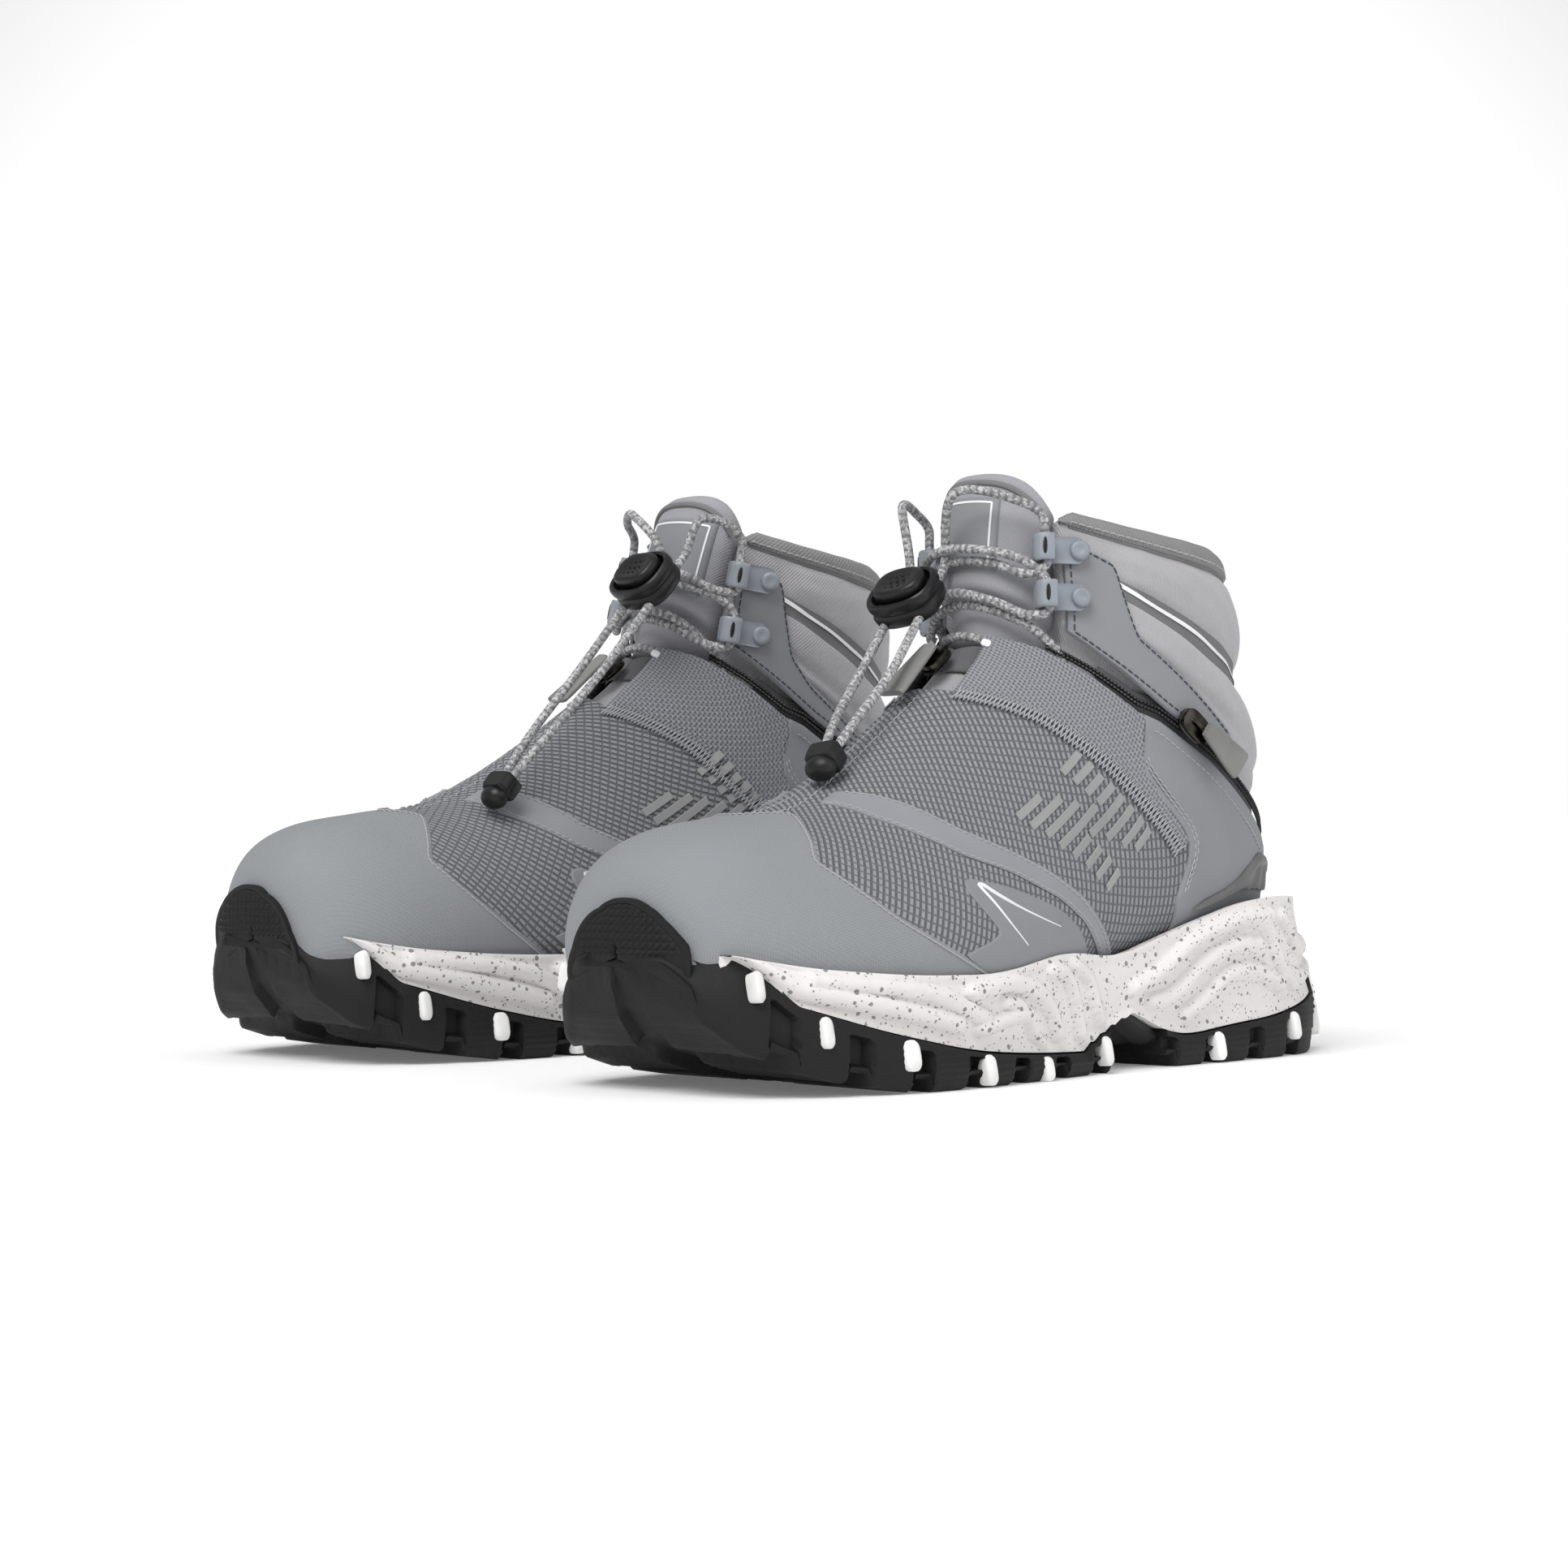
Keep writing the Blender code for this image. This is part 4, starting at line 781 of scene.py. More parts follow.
def coated(n, base):
    """Smooth coated cloth: fine grain and slow variation."""
    grain = n.add("TexNoise", n.place(), None, 2600.0, 3.0).outputs[0]
    slow = n.group("mottle", n.place(), 45.0, 1.2)[0]
    return n.mix(slow, tint(base, 0.92), tint(base, 1.08)), grain, slow


def stretch(n, base):
    """Elastic: coarse square weave of light threads over dark gaps."""
    height, gap = n.group("plain_weave", n.uv(), 720.0, 720.0)
    fleck = n.add("TexNoise", n.uv(), None, 1700.0, 2.0).outputs[0]
    thread = n.mix(fleck, tint(base, 0.8), tint(base, 1.3))
    return n.mix(gap, thread, tint(base, 0.12)), height, fleck


def knit(n, base, ribs=900.0, depth=0.75):
    """Knit with slanted ribs and a light fleck."""
    height = n.group("ribs", n.uv(), ribs, 0.6)[0]
    slow = n.group("mottle", n.place(), 60.0, 1.4)[0]
    shade = n.mix(slow, tint(base, 0.93), tint(base, 1.07))
    return n.mix(n.math("MULTIPLY", height, 0.5), tint(base, depth), shade), height, height


def foam(n, base):
    """Pale foam: two sizes of dark specks over soft grain."""
    grain = n.add("TexNoise", n.place(), None, 420.0, 4.0).outputs[0]
    large = n.group("specks", n.place(), 360.0, 0.7)[0]
    small = n.group("specks", n.place(), 720.0, 0.7)[0]
    pale = n.mix(grain, tint(base, 0.95), tint(base, 1.03))
    mask = n.math("MULTIPLY", n.math("MAXIMUM", large, small), 0.8)
    return n.mix(mask, pale, (0.13, 0.125, 0.13)), grain, grain


def rubber(n, base, scale=900.0):
    """Moulded rubber: fine grain, dusty where the noise is high."""
    grain = n.add("TexNoise", n.place(), None, scale, 4.0).outputs[0]
    slow = n.group("mottle", n.place(), 70.0, 1.4)[0]
    return n.mix(slow, tint(base, 0.8), tint(base, 1.35)), grain, slow


def braid(n, base):
    """Round braid: threads in two slants around the lace, with pale flecks that repeat along it."""
    u, v, _ = n.add("SeparateXYZ", n.uv()).outputs
    turns = n.math("MULTIPLY", u, 6.0)
    one = n.math("FRACT", n.math("ADD", n.math("MULTIPLY", v, 420.0), turns))
    two = n.math("FRACT", n.math("SUBTRACT", n.math("MULTIPLY", v, 420.0), turns))
    height = n.math("MAXIMUM", n.math("PINGPONG", one, 0.5), n.math("PINGPONG", two, 0.5))
    cell = n.add("SeparateXYZ", n.add("TexVoronoi", n.uv(), None, 1300.0).outputs["Color"]).outputs[0]
    fleck = n.math("GREATER_THAN", cell, 0.7)
    dark = n.mix(n.math("MULTIPLY", height, 2.0), tint(base, 0.45), tint(base, 1.1))
    return n.mix(n.math("MULTIPLY", fleck, 0.7), dark, (0.6, 0.6, 0.6)), height, height


def plain_metal(n, base):
    """Dark plated metal with uneven shine."""
    slow = n.group("mottle", n.place(), 260.0, 1.8)[0]
    return n.mix(slow, tint(base, 0.7), tint(base, 1.6)), None, slow


def make_looks():
    """Every finish of the boots, by name."""
    c = colours()
    make_groups()

    def look(name, recipe, base, roughness, **more):
        bump = more.pop("bump", 0.0002)
        extra = more.pop("extra", ())
        finish_look(name, lambda n: recipe(n, tuple(base), *extra), roughness, bump=bump, **more)

    look("toe_canvas", canvas, c.toe_cap, 0.82, sheen=0.05, bump=0.00006)
    look("ripstop_mesh", ripstop, c.mesh, 0.85, bump=0.00035)
    look("smooth_cloth", coated, c.smooth, 0.62, bump=0.00003)
    look("smooth_light", coated, tint(c.smooth, 1.12), 0.58, bump=0.00003)
    look("elastic_weave", stretch, c.elastic, 0.85, bump=0.0004)
    look("silver_knit", knit, c.shaft, 0.6, sheen=0.25, bump=0.00018)
    look("shaft_band", knit, (0.2, 0.2, 0.21), 0.8, bump=0.0001)
    look("tongue_knit", knit, c.tongue, 0.85, sheen=0.1, bump=0.0001, extra=(1100.0, 0.8))
    look("piping_cloth", knit, (0.24, 0.235, 0.24), 0.85, bump=0.0001, extra=(1500.0, 0.7))
    look("collar_twill", knit, (0.33, 0.325, 0.325), 0.85, bump=0.0002, extra=(700.0, 0.6))
    look("lining_knit", knit, (0.2, 0.2, 0.21), 0.95, bump=0.0002, extra=(600.0, 0.6))
    look("twill_tape", knit, (0.17, 0.17, 0.18), 0.9, bump=0.0001, extra=(1300.0, 0.6))
    look("foam_speckled", foam, c.foam, 0.85, bump=0.00018)
    look("black_rubber", rubber, c.rubber, 0.6, bump=0.00012, specular=0.22)
    look("counter_rubber", rubber, (0.125, 0.123, 0.125), 0.5, bump=0.00005)
    look("white_rubber", rubber, (0.75, 0.74, 0.73), 0.6, bump=0.00005)
    look("pull_rubber", rubber, (0.185, 0.184, 0.18), 0.55, bump=0.00005)
    look("black_plastic", rubber, (0.008, 0.008, 0.009), 0.4, bump=0.00003, specular=0.35)
    look("hook_paint", coated, (0.25, 0.272, 0.305), 0.4, bump=0.00001)
    look("dark_metal", plain_metal, (0.05, 0.046, 0.04), 0.25, metallic=1.0)
    look("lace_braid", braid, (0.3, 0.3, 0.31), 0.8, bump=0.00025)
    look("thread_grey", knit, (0.45, 0.455, 0.48), 0.8, bump=0.00005)
    look("thread_dark", knit, (0.07, 0.07, 0.085), 0.8, bump=0.00005)
    look("print_white", coated, (0.82, 0.82, 0.83), 0.5, bump=0.00001)
    look("reflective", coated, (0.3, 0.3, 0.3), 0.35, bump=0.00004)
    look("insole_cloth", canvas, (0.12, 0.12, 0.125), 0.95, bump=0.0001)


def finish(name):
    """A finish by its name."""
    return bpy.data.materials[name]


# ---------------------------------------------------------------------------------------------------------
# Lace, cord lock, clip


def lock_place(side):
    """The cord lock's centre and its across, up and outward axes."""
    centre = np.array(LOCK_CENTRE[side])
    up = centre - np.array(CLIP_CENTRE[side])
    up /= np.linalg.norm(up)
    out = np.cross([1.0, 0.0, 0.0], up)
    out /= np.linalg.norm(out)
    return centre, np.column_stack([np.cross(up, out), up, out])


def clip_place(side):
    """The end clip's centre, turned as the cord lock."""
    return np.array(CLIP_CENTRE[side]), lock_place(side)[1]


def lace_route(side):
    """The lace's own points in mm, from one end in the clip to the other."""
    on = surface
    origin, axes = lock_place(side)
    clip, _ = clip_place(side)

    def at_lock(x, y):
        return origin + axes @ np.array([x, y, LOCK_HOLE_DEPTH])

    def at_clip(x, y):
        return clip + axes @ np.array([x, y, 0.0])

    half = CLIP_SIZE[1] / 2 + GAP
    spread = LOCK_HOLE_SPREAD
    start = [at_clip(2.2, half), at_clip(3.4, half + 7), at_lock(spread, -32), at_lock(spread, -22),
             at_lock(spread, -2), at_lock(spread, 11), at_lock(spread, 15)]
    end = [at_lock(-spread, 15), at_lock(-spread, 11), at_lock(-spread, -2), at_lock(-spread, -22),
           at_lock(-spread, -32), at_clip(-3.4, half + 7), at_clip(-2.2, half)]
    lateral_top = [on(0.922, 0.03, 15), on(0.928, 0.13, 10), on(0.914, 0.194, 5.4)]
    medial_top = [on(0.914, -0.233, 5.4), on(0.928, -0.2, 10), on(0.922, -0.15, 15)]
    hook = 5.3
    route = start + lateral_top
    route += [on(0.897, 0.197, 5.0), on(0.838, 0.195, hook)]
    route += [on(0.823, 0.172, 5.2), on(0.822, 0.08, 3.6), on(0.82, -0.02, 3.4), on(0.818, -0.11, 3.8),
              on(0.818, -0.2, 5.0)]
    route += [on(0.811, -0.235, hook), on(0.755, -0.235, hook)]
    route += [on(0.744, -0.2, 4.2), on(0.744, -0.1, 1.6), on(0.746, 0.0, 0.6), on(0.746, 0.1, 0.6),
              on(0.742, 0.19, 0.4), on(0.727, 0.235, -1.4)]
    route += [on(0.703, 0.18, -1.65), on(0.696, 0.09, -1.65), on(0.694, 0.0, -1.6), on(0.696, -0.09, -1.65),
              on(0.703, -0.17, -1.75)]
    route += [on(0.727, -0.235, -1.5), on(0.745, -0.19, -0.4), on(0.757, -0.1, 4.6), on(0.76, 0.0, 4.4),
              on(0.757, 0.1, 3.6), on(0.758, 0.17, 4.4)]
    route += [on(0.769, 0.195, hook), on(0.823, 0.195, hook)]
    route += [on(0.835, 0.165, 6.2), on(0.837, 0.08, 7.0), on(0.836, -0.02, 7.0), on(0.832, -0.12, 6.6),
              on(0.828, -0.205, 5.8)]
    route += [on(0.836, -0.235, hook), on(0.895, -0.235, hook)]
    return np.array(route + medial_top + end)


def lace_line(points, step):
    """Points of a smooth curve through the given ones, about a step apart: cubic Hermite spans whose slope at
    each point weighs both neighbours by their distance."""
    p = np.array(points, float)
    gap = np.linalg.norm(np.diff(p, axis=0), axis=1)
    chord = (gap[1:] + gap[:-1])[:, None]
    unit = np.zeros_like(p)
    unit[1:-1] = ((p[1:-1] - p[:-2]) * gap[1:, None] / gap[:-1, None]
                  + (p[2:] - p[1:-1]) * gap[:-1, None] / gap[1:, None]) / chord
    unit[0], unit[-1] = (p[1] - p[0]) / gap[0], (p[-1] - p[-2]) / gap[-1]
    line = []
    for i, length in enumerate(gap):
        f = (np.arange(max(1, round(length / step))) / max(1, round(length / step)))[:, None]
        line.append((2 * f**3 - 3 * f**2 + 1) * p[i] + (f**3 - 2 * f**2 + f) * unit[i] * length
                    + (3 * f**2 - 2 * f**3) * p[i + 1] + (f**3 - f**2) * unit[i + 1] * length)
    return np.concatenate(line + [p[-1:]])


def make_lace(side):
    """The elastic lace: a round braid along its whole route."""
    line = lace_line(lace_route(side), 0.9)
    radius = sizes().lace_diameter / 2 / MM
    points, faces = tube(line, radius, 14)
    along = np.concatenate([[0], np.cumsum(np.linalg.norm(np.diff(line, axis=0), axis=-1))]) * MM
    around = np.abs(np.linspace(-1, 1, 14, endpoint=False)) * radius * math.pi * MM
    uv = np.stack(np.broadcast_arrays(around[None], along[:, None]), -1)
    add_piece("elastic_lace", side, points, faces, finish("lace_braid"), "lace", ["lace"], uv=uv)


def make_lock(side):
    """The cord lock: a waisted black body with a thick rim, and a dished button with dimples."""
    place = lock_place(side)
    width, height, depth = LOCK_SIZE
    half = depth / 2
    layers = [(-half, 0.62), (-half + 0.3, 0.76), (-half + 1.2, 0.9), (-half + 2.6, 0.98), (-1.0, 1.0),
              (0.2, 0.97), (0.8, 0.93), (1.4, 0.965), (2.4, 1.0), (half - 1.4, 1.0), (half - 0.5, 0.97),
              (half, 0.9), (half - 0.5, 0.83), (1.4, 0.8)]
    points, faces = blob(width, height, layers)
    add_piece("lock_shell", side, placed(points, place), faces, finish("black_plastic"), "cord_plastic",
              ["cord_lock_body"], "cord_lock")
    wide, tall = BUTTON_SIZE
    top = BUTTON_TOP
    layers = [(BUTTON_REST, 0.97), (BUTTON_REST + 0.5, 1.0), (top - 1.6, 1.0), (top - 0.7, 0.96),
              (top - 0.1, 0.86),
              (top, 0.76), (top - 0.3, 0.6), (top - 0.7, 0.4), (top - 0.9, 0.1)]
    parts = [blob(wide, tall, layers)]
    for row, count in ((-2.6, 4), (0.0, 5), (2.6, 4)):
        for k in range(count):
            centre = ((k - (count - 1) / 2) * 2.4, row)
            dot = blob(0.95, 0.95, [(top - 1.6, 1.0), (top - 0.45, 1.0), (top - 0.25, 0.6)], 1.0, 10, centre)
            parts.append(dot)
    points, faces = join_parts(parts)
    add_piece("lock_button_cap", side, placed(points, place), faces, finish("black_plastic"), "cord_plastic",
              ["cord_lock_button"], "lock_button")


def make_clip(side):
    """The end clip: a chamfered box over a round end, with a mould line."""
    place = clip_place(side)
    width, height, depth = CLIP_SIZE
    half = depth / 2
    layers = [(-half, 0.8), (-half + 0.9, 0.97), (0.0, 1.0), (0.15, 0.975), (0.3, 1.0), (half - 1.2, 0.97),
              (half, 0.8)]
    box = blob(width * 0.86, height * 0.6, layers, 0.35, 32, (0.0, height * 0.2))
    a = np.linspace(-math.pi / 2, math.pi / 2, 13)
    ball = blob(width * 0.82, height * 0.66,
                [(half * 0.98 * math.sin(v), max(math.cos(v), 0.05)) for v in a], 1.0,
                32, (0.0, -height * 0.17))
    collar = blob(width * 0.6, 3.0, [(-half * 0.6, 0.9), (0.0, 1.0), (half * 0.6, 0.9)], 0.6, 24,
                  (0.0, height / 2 - 1.3))
    points, faces = join_parts([box, ball, collar])
    add_piece("end_clip", side, placed(points, place), faces, finish("black_plastic"), "cord_plastic",
              ["cord_end_clip"])


# ---------------------------------------------------------------------------------------------------------
# Sole


def outline_at(y):
    """The sole's x on the outside and on the inside, at places along the foot."""
    found = []
    for points in (OUTLINE_OUTSIDE, OUTLINE_INSIDE):
        line = smooth_line(points, 400)
        found.append(np.interp(y, line[:, 1], line[:, 0]))
    return found


def split_at(y):
    """The line between foam and rubber; it rises to the foam's rim at the front."""
    low, rim = rounded_curve([(a / 1000, b) for a, b in SPLIT_HEIGHT], y / 1000), curve(RIM_HEIGHT, y)
    return low + (rim - 0.8 - low) * ease(-y, 122, 141)


# Raised ribs of the midsole's wall: places as (y, share of the wall's height), then half width and height
# in mm.
RIBS = [
    ([(-138, 0.35), (-118, 0.4), (-98, 0.42), (-78, 0.36), (-66, 0.3)], 3.2, 1.2),
    ([(-120, 0.72), (-96, 0.78), (-74, 0.7), (-64, 0.55), (-54, 0.42)], 2.8, 1.3),
    ([(-60, 0.78), (-44, 0.86), (-30, 0.74), (-20, 0.5), (-14, 0.2)], 3.0, 1.7),
    ([(-56, 0.28), (-42, 0.42), (-32, 0.44), (-26, 0.28)], 2.6, 1.5),
    ([(-44, 0.62), (-36, 0.56), (-28, 0.24), (-22, 0.1)], 2.2, 1.2),
    ([(-18, 0.88), (-10, 0.8), (-4, 0.5), (0, 0.16)], 2.6, 1.5),
    ([(-4, 0.9), (4, 0.74), (8, 0.45), (12, 0.18)], 2.4, 1.2),
    ([(30, 0.4), (44, 0.62), (60, 0.82), (80, 0.88), (104, 0.84)], 3.0, 1.7),
    ([(40, 0.24), (54, 0.4), (68, 0.6), (84, 0.66), (98, 0.6)], 3.0, 1.5),
    ([(58, 0.16), (70, 0.3), (80, 0.42), (96, 0.4), (112, 0.24)], 3.0, 1.4),
    ([(92, 0.88), (104, 0.72), (110, 0.46), (122, 0.2)], 2.6, 1.4),
    ([(112, 0.84), (122, 0.62), (132, 0.5), (146, 0.52)], 2.8, 1.3),
    ([(118, 0.3), (130, 0.22), (144, 0.26)], 2.6, 1.2),
]


def rib_height(y, share, wall):
    """How far the midsole's wall stands out: the highest of the ribs, each a round hill across its line."""
    found = np.zeros(np.broadcast(y, share).shape)
    for line, half, height in RIBS:
        points = smooth_line(line, 30)
        upward = (share[..., None] - points[:, 1]) * wall[..., None]
        gap = np.sqrt((y[..., None] - points[:, 0]) ** 2 + upward ** 2)
        near = gap.min(-1)
        found = np.maximum(found, height * np.sqrt(np.clip(1 - (near / half) ** 2, 0, 1)))
    return found * 2.0


def make_midsole(side):
    """The sculpted foam midsole: walls that bulge with ribs, a rounded rim, and a floor under the foot."""
    heel_end = MIDSOLE_TURN + MIDSOLE_END * np.sin(np.linspace(0, math.pi / 2, 12))
    y = np.concatenate([np.arange(MIDSOLE_FRONT, MIDSOLE_TURN, 1.4), heel_end])
    outside, inside = outline_at(y)
    middle, half_out, half_in = (outside + inside) / 2, (outside - inside) / 2, (inside - outside) / 2
    top = rounded_curve([(a / 1000, b) for a, b in RIM_HEIGHT], y / 1000)
    low = split_at(y) + GAP
    wall = top - low
    share = np.concatenate([np.linspace(0, 0.88, 30), [0.92, 0.96, 0.985, 1.0]])
    yy, hh = np.meshgrid(y, share, indexing="ij")
    ww = np.broadcast_to(wall[:, None], yy.shape)
    belly = 0.035 * np.sin(np.clip(hh, 0, 1) * math.pi * 0.85)
    bulge = 0.968 + belly - 0.05 * np.clip(hh - 0.9, 0, 1) ** 2 * 30
    relief = rib_height(yy, hh, ww) - 1.3
    relief = relief * np.clip(np.minimum(hh, 1 - hh) * 9, 0, 1)
    lean = (HEEL_LEAN + 6.5) * ease(yy, 105, 155) * hh
    z = low[:, None] + ww * hh
    rings = []
    for half in (half_out, half_in):
        grow = 1 + relief / np.maximum(np.abs(half[:, None]), 9.0)
        x = middle[:, None] + half[:, None] * bulge * grow
        rings.append(np.stack([x, yy - lean, z], -1))
    lip = 0.86
    shelf = [
        np.stack([middle + h * lip, y - lean[:, -1], top - 0.8], -1)[:, None]
        for h in (half_out, half_in)
    ]
    floor = np.minimum(low + 6, 24)
    floor = floor + (top - 1.4 - floor) * ease(y, 124, 132)
    sunk = [np.stack([middle + h * lip * 0.97, y - lean[:, -1], floor], -1)[:, None]
            for h in (half_out, half_in)]
    ring = np.concatenate([rings[0], shelf[0], sunk[0], sunk[1], shelf[1], rings[1][:, ::-1]], 1)
    points, faces = rings_piece(ring)
    add_piece("foam_midsole", side, points, faces, finish("foam_speckled"), "midsole", ["midsole"], sharp=60)


def lug_mask(y, k, start, end):
    """1 on a lug and 0 in a groove: slanted lugs on both sides of a middle groove, with steep walls."""
    slant = y - 5.0 * np.abs(k)
    phase = np.mod(slant - start, LUG_PITCH)
    along = np.minimum(phase, LUG_LENGTH - phase)
    across = (np.abs(k) - 0.17) * 50.0
    inside = np.minimum(np.minimum(along, across), np.minimum(y - start + 6, end - y + 1))
    return ease(inside, -0.5, 0.9)


def sole_block(name, side, start, end, place, nodes):
    """A rubber outsole: a grid across its underside with lugs, and walls up to the foam with a lug relief."""
    y = np.arange(start, end + 0.01, 0.9)
    outside, inside = outline_at(y)
    middle, half = (outside + inside) / 2, (outside - inside) / 2
    k = np.concatenate([[-1.0, -0.99], np.linspace(-0.965, 0.965, 62), [0.99, 1.0]])
    yy, kk = np.meshgrid(y, k, indexing="ij")
    top = split_at(y) - GAP
    ground = np.minimum(curve(GROUND_HEIGHT, y), top - 2)[:, None]
    mask = lug_mask(yy, kk, place, end)
    tread = 0.35 * np.sin(yy * 2.2) ** 2 * mask * (np.abs(kk) < 0.9) * (ground > 1)
    under = np.minimum(ground + LUG_DEPTH * (1 - mask) + tread, top[:, None] - 1.2)
    rim = np.clip((np.abs(kk) - 0.965) / 0.035, 0, 1)
    under = under + rim**2 * np.minimum(1.6, (top[:, None] - under) * 0.3)
    x = middle[:, None] + half[:, None] * kk
    floor = np.stack([x, yy, under], -1)
    wall = []
    for edge, column in ((1.0, -1), (-1.0, 0)):
        share = np.linspace(0.08, 1.0, 22)[None]
        notch = mask[:, column][:, None]
        low = under[:, column][:, None]
        line = 0.003 * np.sin((low + (top[:, None] - low) * share) * 3.0) * notch
        out = 1 + 0.018 * np.sin(share * math.pi) * (0.3 + notch) - 0.07 * (1 - notch) * (share < 0.7) + line
        z = low + (top[:, None] - low) * share
        front = ease(-y, 118, 152)[:, None] * ease(share, 0.2, 1.0)
        xx = middle[:, None] + edge * half[:, None] * (out - 0.08 * front)
        wall.append(np.stack([xx, y[:, None] + 4.5 * front, z], -1))
    ring = np.concatenate([floor, wall[0], wall[1][:, ::-1]], 1)
    points, faces = rings_piece(ring)
    add_piece(name, side, points, faces, finish("black_rubber"), "outsole", nodes, sharp=50)


def make_bumper(side):
    """The toe bumper: a black rubber guard over the toe, with rows of small teeth, under a smooth rim."""
    turns = even_turns(-0.62, 0.62, 0.45)

    def off(s, t):
        share = s / curve(BUMPER_TOP, t)
        p = surface(s, t, 2.0)
        u = 42 * np.arctan2(p[..., 0] + 6, -(p[..., 1] + 108)) / 2.3
        v = p[..., 2] / 2.3
        tooth = 1 - 2 * np.maximum(np.abs(np.mod(u, 1) - 0.5), np.abs(np.mod(v, 1) - 0.5))
        field = (1 - ease(share, 0.8, 0.86)) * (1 - ease(np.abs(t), 0.42, 0.46))
        return 2.7 + 1.0 * tooth * field + 0.7 * hill(share, 0.93, 0.07)

    cloth_panel("toe_bumper", side, turns, lambda t: np.full(len(t), 0.0008),
                lambda t: curve(BUMPER_TOP, t), off,
                2.4, finish("black_rubber"), "outsole", step=0.4, roll=1.2)


def make_heel_wrap(side):
    """The outsole's tongue up the back of the heel, with ridges across it."""
    x = np.linspace(-1, 1, 91)
    z = np.linspace(8, 46, 76)
    xx, zz = np.meshgrid(x, z, indexing="ij")
    px = (33 - 13 * ease(zz, 12, 46)) * xx
    lean = (HEEL_LEAN + 6.5) * step_up(zz, 20, 52)
    back = np.interp(np.abs(px), [0, 6, 12, 19, 25, 30, 35.5], [154.8, 154.3, 153.1, 150.6, 147, 141, 131])
    back = back - lean
    field = ease(1 - np.abs(xx), 0.1, 0.16) * ease(zz, 12, 14) * (1 - ease(zz, 41, 43))
    ridge = 0.9 * np.abs(np.sin(zz * 1.35)) * field * (0.4 + 0.6 * (np.abs(np.mod(px, 6.0) - 3.0) > 0.6))
    edge = np.sqrt(np.clip(1 - xx**8, 0, 1)) * (1 - ease(zz, 44, 46))
    grow = 1 + (0.6 + ridge) * edge / 33
    outer = np.stack([px * grow, back + (0.5 + ridge) * edge, zz], -1)
    inner = np.stack([px * 0.93, back - 3.5, zz], -1)
    points, faces = shell_points(outer, inner)
    add_piece("heel_wrap", side, points, faces, finish("black_rubber"), "outsole")
    parts = []
    for sign in (1.0, -1.0):
        out = np.array([sign * 0.62, 0.76, 0.2])
        out /= np.linalg.norm(out)
        across = np.cross([0, 0, 1.0], out)
        across /= np.linalg.norm(across)
        strip = blob(5.0, 27.0, [(-2.5, 1.0), (0.6, 1.0), (1.4, 0.85), (1.7, 0.5)], 0.7, 32)
        place = (np.array([sign * 25.5, 145.6, 18.5]), np.column_stack([across, np.cross(out, across), out]))
        parts.append((placed(strip[0], place), strip[1]))
    points, faces = join_parts(parts)
    add_piece("heel_insert", side, points, faces, finish("white_rubber"), "midsole")


def make_inserts(side):
    """White tips set in the outer faces of some lugs."""
    parts = []
    for y, size in ((-136, 4.5), (-117, 5.5), (-88, 8.0), (-54, 6.0), (-23, 5.5), (12, 5.0), (74, 5.5),
                    (118, 5.5)):
        outside, inside = outline_at(y)
        top = float(split_at(np.array(y, float)))
        tall = min(9.5, top - float(curve(GROUND_HEIGHT, y)) - 0.8)
        for x, out in ((outside, 1.0), (inside, -1.0)):
            block = blob(size * 0.8, tall, [(-3.0, 0.9), (0.6, 1.0), (1.5, 0.85), (1.9, 0.5)], 0.6, 20)
            axes = np.column_stack([[0, -out, 0], [-0.2 * out, 0, 0.98], [0.98 * out, 0, 0.2]])
            seat = np.array([x + out * 0.7, y, top - tall / 2 - 0.8])
            parts.append((placed(block[0], (seat, axes)), block[1]))
    points, faces = join_parts(parts)
    add_piece("lug_inserts", side, points, faces, finish("white_rubber"), "outsole")


def make_shank(side):
    """The arch plate between the two outsoles, with shallow ribs along it."""
    y = np.linspace(FOREFOOT_END + 1, HEEL_START, 30)
    k = np.linspace(-1, 1, 60)
    outside, inside = outline_at(y)
    yy, kk = np.meshgrid(y, k, indexing="ij")
    x = (outside + inside)[:, None] / 2 + (outside - inside)[:, None] / 2 * 0.9 * kk
    top = curve(SPLIT_HEIGHT, y)[:, None] - GAP
    low = top - 4.2 - 0.8 * np.abs(np.sin(kk * 9)) + 2.5 * kk**8
    ring = np.concatenate(
        [np.stack([x, yy, low + 0 * x], -1), np.stack([x, yy, top + 0 * x], -1)[:, ::-1]], 1
    )
    points, faces = rings_piece(ring)
    add_piece("arch_plate", side, points, faces, finish("black_plastic"), "shank", ["arch_shank"])


# ---------------------------------------------------------------------------------------------------------
# Toe cap, vamp and what is sewn or printed on them


def make_cap(side):
    """The canvas toe cap, with a light seam along its back edge."""
    turns = even_turns(-0.78, 0.78)
    cloth_panel("toe_cap", side, turns, lambda t: np.full(len(t), 0.012),
                lambda t: rounded_curve(CAP_EDGE, t) + 0.008, level(0.6), SKIN, finish("toe_canvas"),
                "toe_cap",
                ["toe_cap"])
    t = np.linspace(-0.62, 0.62, 60)
    seam = np.column_stack([rounded_curve(CAP_EDGE, t) + 0.002, t])
    add_stitches("cap_seam", side, [(seam, 0.75)], finish("thread_grey"), "toe_cap", pitch=2.1, radius=0.3)


